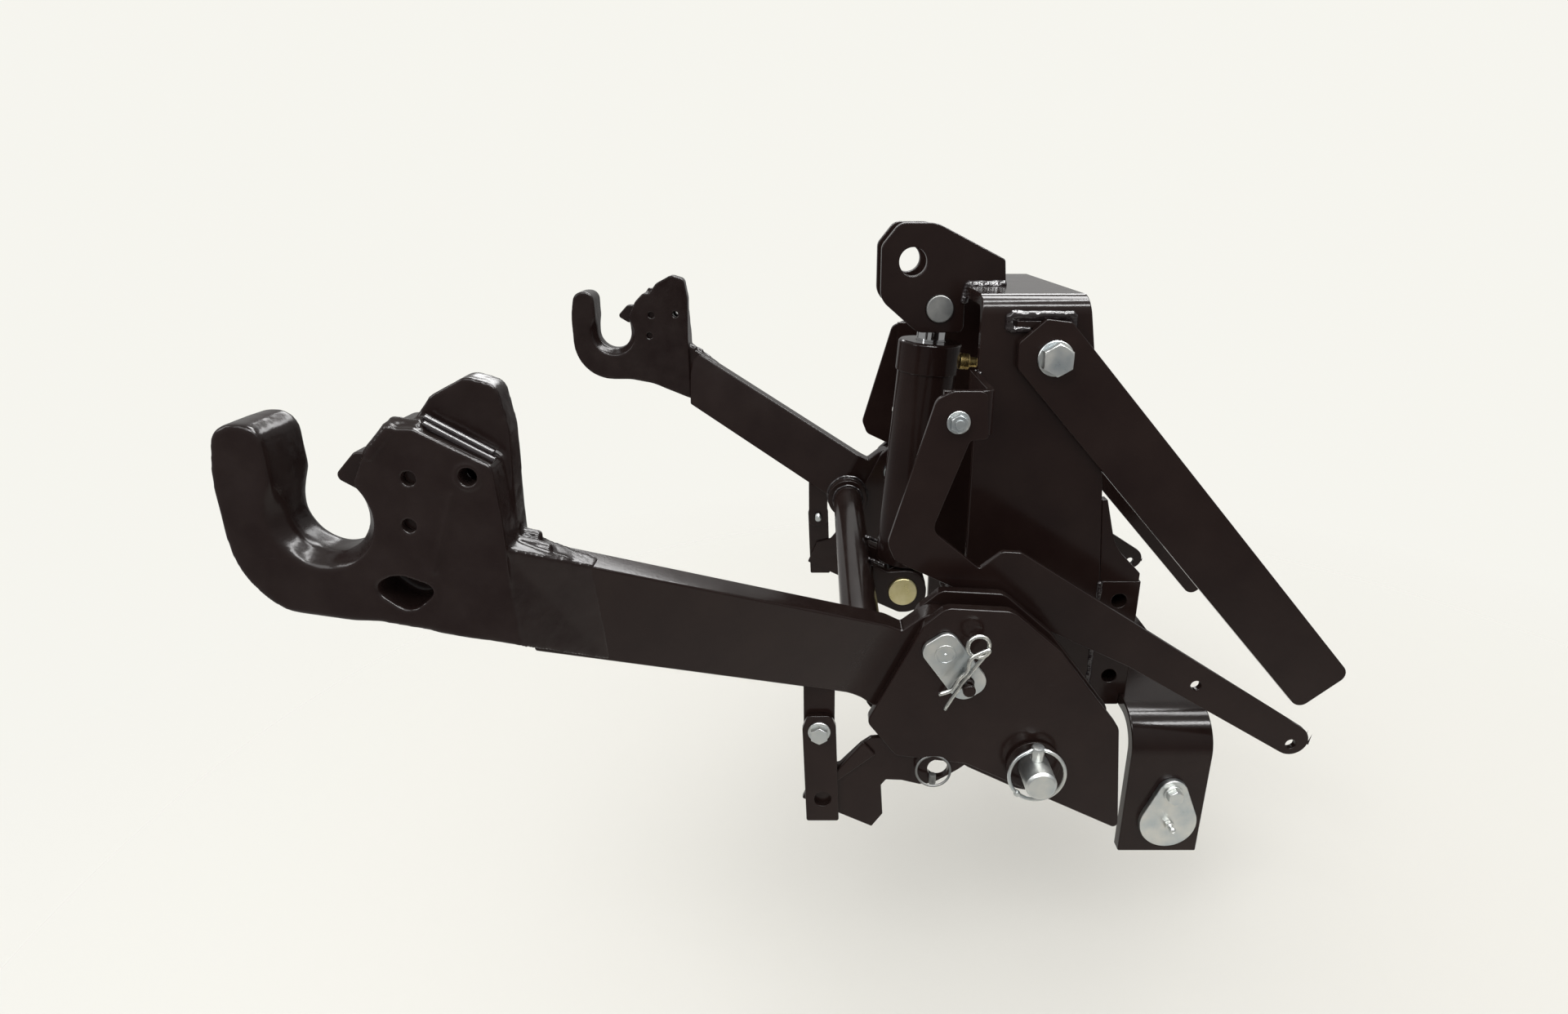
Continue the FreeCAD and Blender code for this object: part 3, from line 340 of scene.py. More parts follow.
def wire(points: list[Vector], radius: float, loop: bool = False) -> Object:
    """Bent wire: a smooth curve through control points, with a round section.

    Args:
        points: Control points in metres.
        radius: Wire radius in millimetres.
        loop: Whether the curve is a loop.

    Returns:
        The wire as a closed mesh.
    """
    clear()
    bpy.ops.curve.primitive_nurbs_path_add()
    path = bpy.context.object
    spline = path.data.splines[0]
    spline.points.add(len(points) - len(spline.points))
    for control, point in zip(spline.points, points):
        control.co = (*point, 1.0)
    spline.use_cyclic_u = loop
    spline.order_u = 4
    spline.use_endpoint_u = not loop
    spline.resolution_u = 6
    path.data.bevel_depth = radius * MM
    path.data.bevel_resolution = 3
    path.data.use_fill_caps = not loop
    path.data.dimensions = "3D"
    take(path)
    bpy.ops.object.convert(target="MESH")
    bent = bpy.context.object
    settle(bent)
    closed(bent, TOUCHING)
    bpy.ops.object.shade_smooth()
    return bent


def joined(name: str, parts: list[Object]) -> Object:
    """Join several objects into one.

    Args:
        name: The name of the whole.
        parts: The objects, which are used up.

    Returns:
        The whole.
    """
    take(parts[0])
    for part in parts[1:]:
        part.select_set(True)
    if len(parts) > 1:
        bpy.ops.object.join()
    piece = fresh(name)
    piece.data.name = name
    return piece


def copied(name: str, source: Object) -> Object:
    """Copy an object.

    Args:
        name: The copy's name.
        source: The object.

    Returns:
        A copy with its own mesh and no parent.
    """
    piece = bpy.data.objects.new(name, source.data.copy())
    bpy.context.scene.collection.objects.link(piece)
    return piece


def mirrored(name: str, source: Object) -> Object:
    """Mirror a piece across the mid-plane.

    Args:
        name: The mirror image's name.
        source: The piece, which stays.

    Returns:
        The mirror image.
    """
    piece = copied(name, source)
    piece.scale = (1, -1, 1)
    settle(piece)
    closed(piece)
    return piece


def pair(name: str, left: Object) -> Object:
    """A left piece and its mirror image, joined."""
    return joined(name, [left, mirrored(f"{name}_other", left)])


# Materials


class Sockets:
    """Short ways to add nodes and links to a tree."""

    def __init__(self, tree: Tree) -> None:
        """Keep the tree that the nodes go into."""
        self.tree = tree

    def feed(self, node: Node, values: dict[str | int, object]) -> Node:
        """Link or set a node's inputs.

        Args:
            node: The node.
            values: A socket or a plain value for each input, by name or number.

        Returns:
            The same node.
        """
        for key, value in values.items():
            if isinstance(value, Socket):
                self.tree.links.new(value, node.inputs[key])
            else:
                node.inputs[key].default_value = value
        return node

    def add(self, kind: str, values: dict[str | int, object] | None = None,
            **settings: object) -> Node:
        """Add a node.

        Args:
            kind: Blender's name of the node type.
            values: What feeds its inputs.
            settings: Its plain properties.

        Returns:
            The node.
        """
        node = self.tree.nodes.new(kind)
        for name, value in settings.items():
            setattr(node, name, value)
        return self.feed(node, values or {})

    def group(self, tree: Tree, **values: Socket | float) -> bpy.types.NodeOutputs:
        """Place a shared group with its own values and return its outputs."""
        return self.add("ShaderNodeGroup", values, node_tree=tree).outputs

    def noise(self, place: Socket, scale: Socket | float, detail: float,
              roughness: float = 0.5) -> Socket:
        """Noise texture on a place."""
        return self.add("ShaderNodeTexNoise", {
            "Vector": place, "Scale": scale, "Detail": detail,
            "Roughness": roughness}).outputs["Fac"]

    def span(self, value: Socket, low: float, high: float, new_low: float = 0.0,
             new_high: float = 1.0) -> Socket:
        """Map a range of a value to another range, clamped."""
        return self.add("ShaderNodeMapRange", {
            "Value": value, "From Min": low, "From Max": high, "To Min": new_low,
            "To Max": new_high}).outputs["Result"]

    def math(self, operation: str, first: Socket, second: Socket | float) -> Socket:
        """Math node on one socket and another socket or a number."""
        return self.add("ShaderNodeMath", {0: first, 1: second}, operation=operation).outputs[0]

    def blend(self, mask: Socket, low: Socket | Colour, high: Socket | Colour) -> Socket:
        """Mix two colours, each a socket or plain RGB numbers, by a mask."""
        low, high = (tone if isinstance(tone, Socket) else (*tone, 1.0) for tone in (low, high))
        return self.add("ShaderNodeMix", {0: mask, 6: low, 7: high}, data_type="RGBA").outputs[2]


class Effects:
    """Shader node groups that several finishes share, each built once."""

    def __init__(self) -> None:
        """Build every group."""
        self.peel = self._peel()
        self.dust = self._dust()
        self.scuffs = self._scuffs()
        self.clouds = self._clouds()

    @staticmethod
    def _open(name: str, inputs: dict[str, float],
              *outputs: str) -> tuple[Sockets, bpy.types.NodeOutputs, Node]:
        """Start a group with a Place vector input, value inputs and value outputs.

        Args:
            name: The group's name.
            inputs: Names and first values of its value inputs.
            outputs: Names of its outputs.

        Returns:
            The group's sockets, what comes in, and the node that takes the results.
        """
        tree = bpy.data.node_groups.new(name, "ShaderNodeTree")
        tree.interface.new_socket("Place", in_out="INPUT", socket_type="NodeSocketVector")
        for key, number in inputs.items():
            socket = tree.interface.new_socket(key, in_out="INPUT", socket_type="NodeSocketFloat")
            socket.default_value = number
        for key in outputs:
            tree.interface.new_socket(key, in_out="OUTPUT", socket_type="NodeSocketFloat")
        kit = Sockets(tree)
        return kit, kit.add("NodeGroupInput").outputs, kit.add("NodeGroupOutput")

    def _peel(self) -> Tree:
        """Sprayed and baked coat.

        Returns:
            A group that gives fine orange peel over slow waves, as a height.
        """
        kit, source, sink = self._open("coat_peel", {"Scale": 420.0, "Waves": 0.35}, "Height")
        fine = kit.noise(source["Place"], source["Scale"], 2.0)
        waves = kit.math("MULTIPLY", kit.noise(source["Place"], 60.0, 2.0), source["Waves"])
        kit.feed(sink, {"Height": kit.math("ADD", fine, waves)})
        return kit.tree

    def _dust(self) -> Tree:
        """Settled dust.

        Returns:
            A group that masks faces that look up, broken up by noise.
        """
        kit, source, sink = self._open("settled_dust", {"Amount": 0.3}, "Mask")
        facing = kit.add("ShaderNodeNewGeometry").outputs["Normal"]
        height = kit.add("ShaderNodeSeparateXYZ", {0: facing}).outputs["Z"]
        patches = kit.span(kit.noise(source["Place"], 34.0, 6.0, 0.65), 0.35, 0.75)
        mask = kit.math("MULTIPLY", kit.span(height, 0.35, 1.0), patches)
        kit.feed(sink, {"Mask": kit.math("MULTIPLY", mask, source["Amount"])})
        return kit.tree

    def _scuffs(self) -> Tree:
        """Marks of handling and packing.

        Returns:
            A group that masks short rubbed marks and specks.
        """
        kit, source, sink = self._open("handling_scuffs", {"Amount": 0.3}, "Mask")
        stretch = kit.add("ShaderNodeMapping", {
            "Vector": source["Place"], "Scale": (1.0, 1.0, 5.0), "Rotation": (0.4, 0.9, 0.2)})
        marks = kit.span(kit.noise(stretch.outputs["Vector"], 70.0, 5.0, 0.7), 0.66, 0.72)
        specks = kit.span(kit.noise(source["Place"], 600.0, 2.0), 0.74, 0.78)
        mask = kit.math("MAXIMUM", marks, specks)
        kit.feed(sink, {"Mask": kit.math("MULTIPLY", mask, source["Amount"])})
        return kit.tree

    def _clouds(self) -> Tree:
        """Uneven tone, as in plating or a thick coat.

        Returns:
            A group that gives slow and fine variation.
        """
        kit, source, sink = self._open("uneven_tone", {"Scale": 20.0}, "Slow", "Fine")
        slow = kit.noise(source["Place"], source["Scale"], 4.0)
        fine = kit.noise(source["Place"], 900.0, 2.0)
        kit.feed(sink, {"Slow": kit.span(slow, 0.3, 0.7), "Fine": kit.span(fine, 0.3, 0.7)})
        return kit.tree


@dataclass(frozen=True)
class Finish:
    """A surface finish and the numbers that set it apart."""

    dust_tone: ClassVar[Colour] = (0.33, 0.3, 0.26)
    dust_roughness: ClassVar[float] = 0.6
    fine_share: ClassVar[float] = 0.35
    bump_height: ClassVar[float] = 0.5 * MM

    name: str
    slot: Slot
    low_tone: Colour
    high_tone: Colour
    smooth: float
    rough: float
    metallic: float = 0.0
    specular: float = 0.5
    cloud_scale: float = 20.0
    peel_scale: float = 420.0
    peel_waves: float = 0.35
    peel_depth: float = 0.08
    dust: float = 0.05
    scuff: float = 0.05
    scuff_tone: Colour = (0.06, 0.05, 0.045)

    def make(self, effects: Effects) -> bpy.types.Material:
        """Build the material.

        Args:
            effects: The shared node groups.

        Returns:
            The material.
        """
        material = bpy.data.materials.new(self.name)
        material.use_nodes = True
        kit = Sockets(material.node_tree)
        place = kit.add("ShaderNodeTexCoord").outputs["Object"]

        tone = kit.group(effects.clouds, Place=place, Scale=self.cloud_scale)
        dust = kit.group(effects.dust, Place=place, Amount=self.dust)["Mask"]
        scuff = kit.group(effects.scuffs, Place=place, Amount=self.scuff)["Mask"]
        peel = kit.group(effects.peel, Place=place, Scale=self.peel_scale, Waves=self.peel_waves)

        base = kit.blend(tone["Slow"], self.low_tone, self.high_tone)
        worn = kit.blend(scuff, base, self.scuff_tone)
        uneven = kit.math("ADD", kit.math("MULTIPLY", tone["Fine"], self.fine_share),
                          kit.math("MULTIPLY", tone["Slow"], 1.0 - self.fine_share))
        shine = kit.span(uneven, 0.0, 1.0, self.smooth, self.rough)
        bump = kit.add("ShaderNodeBump", {
            "Strength": self.peel_depth, "Distance": self.bump_height, "Height": peel["Height"]})
        kit.feed(material.node_tree.nodes["Principled BSDF"], {
            "Base Color": kit.blend(dust, worn, self.dust_tone),
            "Roughness": kit.math("ADD", shine, kit.math("MULTIPLY", dust, self.dust_roughness)),
            "Metallic": self.metallic,
            "Specular IOR Level": self.specular,
            "Normal": bump.outputs["Normal"],
        })
        return material


PAINT = Finish(
    "black_brown_paint", Slot.PAINT, (0.011, 0.0058, 0.0052), (0.0155, 0.0088, 0.0075),
    smooth=0.1, rough=0.2, specular=0.18, dust=0.03)
WELD_PAINT = Finish(
    "painted_weld", Slot.PAINT, (0.009, 0.006, 0.006), (0.018, 0.013, 0.014),
    smooth=0.1, rough=0.2, peel_depth=0.05, dust=0.02)
CAST_PAINT = Finish(
    "painted_forging", Slot.PAINT, (0.011, 0.0062, 0.0057), (0.0165, 0.0105, 0.0095),
    smooth=0.12, rough=0.26, specular=0.2, cloud_scale=45.0, peel_scale=260.0, peel_waves=0.8,
    peel_depth=0.2, dust=0.03, scuff=0.08)
ZINC = Finish(
    "blue_white_zinc", Slot.ZINC, (0.42, 0.46, 0.48), (0.6, 0.6, 0.57),
    smooth=0.26, rough=0.42, metallic=1.0, cloud_scale=60.0, peel_scale=900.0, peel_depth=0.06,
    scuff=0.25, scuff_tone=(0.3, 0.3, 0.28))
SPRING_ZINC = Finish(
    "spring_wire_zinc", Slot.ZINC, (0.4, 0.42, 0.42), (0.62, 0.61, 0.56),
    smooth=0.2, rough=0.36, metallic=1.0, cloud_scale=90.0, peel_scale=1400.0, peel_depth=0.04,
    dust=0.0, scuff=0.15, scuff_tone=(0.25, 0.24, 0.22))
DULL_ZINC = Finish(
    "dull_zinc", Slot.ZINC, (0.16, 0.165, 0.165), (0.24, 0.24, 0.23),
    smooth=0.4, rough=0.55, metallic=1.0, cloud_scale=60.0, peel_scale=900.0, peel_depth=0.06,
    scuff=0.2, scuff_tone=(0.12, 0.12, 0.11))
YELLOW_PIN = Finish(
    "yellow_passivate", Slot.PIN, (0.5, 0.44, 0.22), (0.66, 0.6, 0.36),
    smooth=0.24, rough=0.4, metallic=1.0, cloud_scale=70.0, peel_scale=1100.0, peel_depth=0.05,
    scuff=0.2, scuff_tone=(0.4, 0.37, 0.3))
CHROME_ROD = Finish(
    "ground_rod", Slot.ZINC, (0.66, 0.67, 0.68), (0.74, 0.75, 0.76),
    smooth=0.06, rough=0.12, metallic=1.0, peel_scale=1600.0, peel_depth=0.01, dust=0.0,
    scuff=0.0)
BRASS = Finish(
    "machined_brass", Slot.BRASS, (0.62, 0.44, 0.15), (0.78, 0.6, 0.26),
    smooth=0.2, rough=0.34, metallic=1.0, cloud_scale=80.0, peel_scale=1200.0, peel_depth=0.04,
    dust=0.0, scuff=0.15, scuff_tone=(0.35, 0.24, 0.08))


class Paintshop:
    """Makes each finish once and puts it on pieces."""

    def __init__(self) -> None:
        """Build the shared effects."""
        self.effects = Effects()
        self.made: dict[str, bpy.types.Material] = {}

    def coat(self, piece: Object, finish: Finish) -> None:
        """Give a piece one finish all over.

        Args:
            piece: The piece.
            finish: The finish.
        """
        if finish.name not in self.made:
            self.made[finish.name] = finish.make(self.effects)
        piece.data.materials.clear()
        piece.data.materials.append(self.made[finish.name])


# Fasteners


@dataclass(frozen=True)
class HexBolt:
    """A hexagon bolt with a washer or flange; sizes in millimetres."""

    flats: float
    head: float
    washer: float
    washer_wall: float
    shank: float
    length: float
    pitch: float

    def build(self, seat: Vector) -> Object:
        """Bolt whose washer lies on a face that looks to the left.

        Args:
            seat: Centre of the washer's seat.

        Returns:
            The bolt.
        """
        edge = 0.18 * self.washer_wall
        washer = turned([
            (0, 0), (self.washer - edge, 0), (self.washer, edge),
            (self.washer, self.washer_wall - edge), (self.washer - edge, self.washer_wall),
            (0, self.washer_wall)], seat, OUTWARD)
        head = self.hexagon(seat + OUTWARD * self.washer_wall * MM)
        tip, root, height = self.length, self.shank * 0.87, self.length * 0.45
        profile = [(0, 0), (self.shank, 0), (self.shank, height)]
        while height < tip - 2 * self.pitch:
            profile += [(root, height + self.pitch * 0.5), (self.shank, height + self.pitch)]
            height += self.pitch
        profile += [(self.shank, tip - self.pitch), (self.shank * 0.8, tip), (0, tip)]
        shank = turned(profile, seat, INWARD, 24)
        bolt = joined("bolt", [washer, head, shank])
        smooth(bolt, 30)
        return bolt

    def hexagon(self, seat: Vector) -> Object:
        """Hexagon head with its corners turned off.

        Args:
            seat: Centre of the head's underside.

        Returns:
            The head.
        """
        flat, corner = self.flats / 2, self.flats / math.sqrt(3)
        head = rod(corner, self.head, seat, OUTWARD, 6)
        crown = turned([
            (0, -1), (corner + 1, -1), (corner + 1, self.head - (corner - flat) * 0.9),
            (flat - 0.4, self.head), (0, self.head + 0.001)], seat, OUTWARD, 36)
        carved(head, crown, "INTERSECT")
        bevelled(head, 0.25, 1, angle_limit=math.radians(40), use_clamp_overlap=True)
        return head


M16 = HexBolt(flats=24.0, head=10.0, washer=15.0, washer_wall=3.0, shank=8.0, length=42.0,
              pitch=2.0)
M8 = HexBolt(flats=13.0, head=6.0, washer=9.0, washer_wall=1.8, shank=4.0, length=26.0,
             pitch=1.25)
KEEPER_M8 = HexBolt(flats=13.0, head=6.0, washer=9.0, washer_wall=1.6, shank=4.0, length=5.0,
                    pitch=1.25)


# Assembly and welds


@dataclass
class Assembly:
    """A sub-assembly: it builds pieces, paints them and hangs them on their bodies."""

    body: ClassVar[Body] = Body.FRAME

    paintshop: Paintshop

    def add(self, piece: Object, finish: Finish, nodes: Iterable[str] = (),
            body: Body | None = None) -> None:
        """Paint a finished piece, let it ride and hide the CAD nodes that it stands for.

        Args:
            piece: The piece, in place.
            finish: Its finish.
            nodes: The CAD nodes that it replaces.
            body: The body it rides on, if not the assembly's own.
        """
        self.paintshop.coat(piece, finish)
        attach(piece, (body or self.body).value)
        names = list(nodes)
        if names:
            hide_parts(*names)
        log.info("%s: %d faces", piece.name, len(piece.data.polygons))

    def eased(self, node: str, edge: float, finish: Finish, body: Body | None = None,
              segments: int = 2) -> None:
        """Copy a CAD node, break its sharp edges and let the copy stand for it.

        Args:
            node: The CAD node's name.
            edge: Width of the broken edge in millimetres.
            finish: The piece's finish.
            body: The body it rides on, if not the assembly's own.
            segments: Steps across the broken edge.
        """
        piece = copied(f"{node}_eased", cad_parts[node])
        with editing(piece):
            bpy.ops.mesh.remove_doubles(threshold=CAD_TOUCHING)
            bpy.ops.mesh.dissolve_limited(angle_limit=math.radians(0.4))
        bevelled(piece, edge, segments, angle_limit=math.radians(40),
                 use_clamp_overlap=False, miter_outer="MITER_SHARP")
        smooth(piece)
        self.add(piece, finish, [node], body)

    def eased_all(self, finish: Finish, **edges: float) -> None:
        """Ease CAD nodes, given as name and edge width, in one finish."""
        for node, edge in edges.items():
            self.eased(node, edge, finish)

    def eased_sides(self, finish: Finish, **edges: float) -> None:
        """Ease CAD nodes that have a left and a right one, given without the side."""
        for side in Side:
            self.eased_all(finish, **{f"{stem}_{side.value}": edge
                                      for stem, edge in edges.items()})

    def both(self, left: Object, finish: Finish, stem: str, kind: str) -> None:
        """Add a left piece and its mirror image, each in place of its side's CAD node.

        Args:
            left: The left piece.
            finish: The finish of both.
            stem: The CAD nodes' name without the side.
            kind: The last word of the pieces' names.
        """
        left.name = f"{stem}_left_{kind}"
        right = mirrored(f"{stem}_right_{kind}", left)
        for piece, side in zip((left, right), Side):
            self.add(piece, finish, [f"{stem}_{side.value}"])

    def pairs(self, name: str, parts: list[Object], finish: Finish, degrees: float = 35.0,
              nodes: Iterable[str] = ()) -> None:
        """Add left parts and their mirror image as one piece.

        Args:
            name: The piece's name.
            parts: The parts on the left side.
            finish: The piece's finish.
            degrees: Edges sharper than this stay sharp.
            nodes: The CAD nodes that it replaces.
        """
        left = joined(name, parts)
        smooth(left, degrees)
        self.add(pair(name, left), finish, nodes)

    def bolts(self, stem: str, kind: HexBolt, seat: Vector) -> None:
        """Add a bolt and its mirror image as one piece, in place of the bolts' CAD node."""
        self.add(pair(f"{stem}_set", kind.build(seat)), ZINC, [f"{stem}s"])


@dataclass(frozen=True)
class Bead:
    """A straight weld bead between two points, in millimetres."""

    flatness: ClassVar[float] = 0.72

    start: Point
    end: Point
    radius: float
    pitch: float = 2.4

    def build(self) -> Object:
        """Chain of overlapping flattened ripples.

        Returns:
            The bead.
        """
        run = mm(*self.end) - mm(*self.start)
        count = max(2, round(run.length / (self.pitch * MM)))
        clear()
        bpy.ops.mesh.primitive_uv_sphere_add(segments=8, ring_count=6, radius=self.radius * MM)
        ripple = bpy.context.object
        ripple.scale = (1.0, 1.0, self.flatness)
        ripple.rotation_euler = run.to_track_quat("Z", "Y").to_euler()
        ripple.location = mm(*self.start)
        settle(ripple)
        modify(ripple, "ARRAY", count=count, use_relative_offset=False,
               use_constant_offset=True, constant_offset_displace=run / (count - 1))
        bpy.ops.object.shade_smooth()
        return ripple


@dataclass(frozen=True)
class RingBead:
    """A weld bead round a crosswise tube, in millimetres."""

    ripple: ClassVar[float] = 2.3
    dip: ClassVar[float] = 0.28

    centre: Point
    tube: float
    radius: float

    def build(self) -> Object:
        """Torus whose rings alternate in height, like laid ripples.

        Returns:
            The bead.
        """
        minor, major = 8, 2 * round(math.tau * self.tube / (2 * self.ripple))
        clear()
        bpy.ops.mesh.primitive_torus_add(
            major_segments=major, minor_segments=minor, major_radius=self.tube * MM,
            minor_radius=self.radius * MM)
        ring = bpy.context.object
        for index, vertex in enumerate(ring.data.vertices):
            vertex.select = (index // minor) % 2 == 0
        take(ring)
        bpy.ops.object.mode_set(mode="EDIT")
        bpy.ops.mesh.select_mode(type="VERT")
        bpy.ops.transform.shrink_fatten(value=-self.dip * self.radius * MM)
        bpy.ops.object.mode_set(mode="OBJECT")
        ring.matrix_world = standing(mm(*self.centre), INWARD)
        settle(ring)
        bpy.ops.object.shade_smooth()
        return ring


class WeldedAssembly(Assembly):
    """An assembly with weld beads, listed for the left side and mirrored."""

    def welds(self, name: str, beads: list[Bead | RingBead]) -> None:
        """Lay the beads of both sides as one piece.

        Args:
            name: The piece's name.
            beads: The beads of the left side.
        """
        laid = joined(name, [bead.build() for bead in beads])
        melted(laid, 0.8, 3)
        roughened(laid, 6.0, 1.6)
        self.add(pair(name, laid), WELD_PAINT)


# Sub-assemblies


@dataclass(frozen=True)
class FrameSizes:
    """Places on the main frame, in millimetres."""

    top: float = 318.0
    front: float = -163.0
    side: float = 120.0
    lug_inner: float = 23.0
    lug_outer: float = 33.0
    back: float = -38.0
    block_top: float = 60.0
    block_bottom: float = -72.0
    pivot: Spot = (-124.0, -41.0)
    brace_bolt: Spot = (-102.0, 268.0)
    stay_bolt: Spot = (-192.0, 232.0)
    stay_face: float = 204.0


@dataclass
class MainFrame(WeldedAssembly):
    """Channel, block, lugs, ribs, pivot and their welds."""

    at: FrameSizes = FrameSizes()
    lug_weld_end: float = -129.0
    slot_ends: Spot = (-138.0, -89.0)
    slot_heights: Spot = (290.5, 302.0)
    plug_radius: float = 5.6
    plug_length: float = 42.0

    def build(self) -> None:
        """Make every piece of the main frame."""
        self.eased_all(PAINT, frame_channel=1.2, mounting_block=1.0)
        self.eased_sides(PAINT, back_rib=0.8, top_link_lug=1.2)
        self.eased_all(PAINT, pivot_tube=0.8)
        self.lug_welds()
        self.slots()
        self.block_welds()

    def lug_welds(self) -> None:
        """Beads along the top link lugs' feet and fronts."""
        front, top, end = self.at.front, self.at.top, self.lug_weld_end
        outer, inner = -self.at.lug_outer - 1, -self.at.lug_inner + 1
        self.welds("lug_welds", [
            Bead((front + 3, outer, top + 1), (end, outer, top + 1), 4.4),
            Bead((front + 6, outer - 3, top), (end - 4, outer - 3, top), 3.0, 3.1),
            Bead((front - 1, outer, top - 14), (front + 2, outer, top + 1), 4.0),
            Bead((front - 1, inner, top - 9), (front - 1, inner, top - 1), 3.6),
        ])

    def slots(self) -> None:
        """Welded slots in the channel's sides, each with a plug."""
        wall, face = -self.at.side, -self.at.side - 0.5
        (left, right), (low, high) = self.slot_ends, self.slot_heights
        self.welds("slot_welds", [
            Bead((left, face, high), (right, face, high), 4.4),
            Bead((left + 3, wall, high - 3), (right - 3, wall, high - 3), 3.0),
            Bead((left, face, low), (left + 14, face, low), 3.6),
            Bead((right - 10, face, low), (right, face, low), 3.6),
            Bead((left - 2, face, high - 1), (left - 2, face, low + 1), 4.0),
            Bead((right + 2, face, high - 1), (right + 2, face, low + 1), 4.0),
        ])
        plug = rod(self.plug_radius, self.plug_length,
                   mm(left + 4, wall + 2.6, low + 4), REARWARD, 6)
        bevelled(plug, 0.6)
        self.pairs("slot_plugs", [plug], PAINT)

    def block_welds(self) -> None:
        """Beads round the mounting block and the pivot tube."""
        wall, back = -self.at.side, self.at.back
        low, high = self.at.block_bottom + 4, self.at.block_top
        self.welds("block_welds", [
            Bead((back, wall + 0.5, low), (back, wall + 0.5, high - 2), 3.0),
            Bead((back - 1, wall + 11, low), (back - 1, wall + 11, high), 3.4),
            Bead((back + 3, wall + 10, high + 1), (-5, wall + 10, high + 1), 3.0),
            Bead((back - 7, wall + 21, high + 2), (back, wall + 21, high + 2), 2.6),
        ])
        x, z = self.at.pivot
        self.welds("pivot_welds", [
            RingBead((x, wall - 0.5, z), 25.8, 3.4),
            RingBead((x, wall + 10.5, z), 25.6, 3.0),
        ])


@dataclass
class Saddle(Assembly):
    """Strap with its retained pins and grease nipples; places in millimetres."""

    keeper: Point = (36, -174, -135)
    nipple: Point = (36, -174, -169)

    def build(self) -> None:
        """Make every piece of the saddle."""
        self.eased_all(PAINT, saddle_strap=1.4)
        self.eased_sides(ZINC, saddle_pin=0.9)
        self.bolts("keeper_bolt", KEEPER_M8, mm(*self.keeper))
        base = mm(*self.nipple)
        hexagon = rod(4.6, 4.0, base, OUTWARD, 6)
        bevelled(hexagon, 0.4)
        stem = turned([
            (0, 3), (2.9, 4.0), (2.2, 5.2), (2.2, 7.6), (2.8, 8.4), (3.25, 9.3), (3.1, 10.4),
            (2.3, 11.6), (1.2, 12.0), (1.0, 11.6), (0, 11.5)], base, OUTWARD, 24)
        self.pairs("grease_nipple_set", [hexagon, stem], ZINC, 30, ["grease_nipples"])


@dataclass
class Struts(WeldedAssembly):
    """Braces, side stays and their fasteners; sizes in millimetres."""

    at: FrameSizes = FrameSizes()
    brace_wall: float = 10.0
    tab_heights: Spot = (220.0, 254.0)

    def build(self) -> None:
        """Make the braces, stays, tabs and bolts."""
        at = self.at
        self.eased_sides(PAINT, brace=1.0, side_stay=0.8, stay_tab=0.7)
        x, z = at.brace_bolt
        self.bolts("brace_bolt", M16, mm(x, -at.side - self.brace_wall, z))
        self.eased_all(ZINC, brace_nuts=1.2)
        x, z = at.stay_bolt
        seat = mm(x, -at.stay_face, z)
        self.bolts("stay_bolt", M8, seat)
        end = rod(3.9, 9.0, seat, OUTWARD, 24)
        inner = rod(6.4, 5.0, mm(x, -at.stay_face + 10.0, z), INWARD, 6)
        for part in (end, inner):
            bevelled(part, 0.8)
        self.pairs("stay_bolt_ends", [end, inner], ZINC)
        low, high = self.tab_heights
        self.welds("tab_welds", [
            Bead((x, y, low), (x, y, high), 2.6)
            for x, y in ((at.front - 1, -at.side + 7), (at.front + 1, -at.side - 1))])


@dataclass
class Pivot(Assembly):
    """Pivot shaft with washers and lynch pins; sizes in millimetres."""

    pin: Point = (-124.0, -264.0, -41.0)
    ring_foot: Point = (4.2, -0.5, 21.2)
    ring_radius: float = 22.6
    ring_wire: float = 1.5

    def build(self) -> None:
        """Make the shaft, washers and lynch pins."""
        self.eased_all(ZINC, pivot_shaft=0.5)
        self.eased_all(PAINT, pivot_washers=0.5)
        self.both(self.lynch_pin(), ZINC, "lynch_pin", "wire")

    def lynch_pin(self) -> Object:
        """Plug with its head and the spring ring hinged in it.

        Returns:
            The left pin.
        """
        x, y, z = self.pin
        plug = turned([
            (0, -22), (3.2, -21.5), (5.0, -18), (5.0, 16.0), (5.4, 18.0), (5.4, 22.6),
            (4.4, 24.0), (0, 24.4)], mm(x, y, z), UP)
        foot_x, foot_y, foot_z = self.ring_foot
        first, last = (mm(x + sign * foot_x, y + foot_y, z + foot_z) for sign in (-1, 1))
        turn = [mm(x + self.ring_radius * across, y - 4.2 + 1.6 * up, z + self.ring_radius * up)
                for across, up in arc(22, 106, 328)]
        ring = wire([first, *turn, last], self.ring_wire)
        knob = turned([
            (0, -2.6), (2.0, -2.2), (2.9, 0), (2.0, 2.2), (0, 2.6)],
            mm(x - 15, y - 5.0, z - 17), OUTWARD, 16)
        pin = joined("lynch_pin_left_wire", [plug, ring, knob])
        smooth(pin, 40)
        return pin


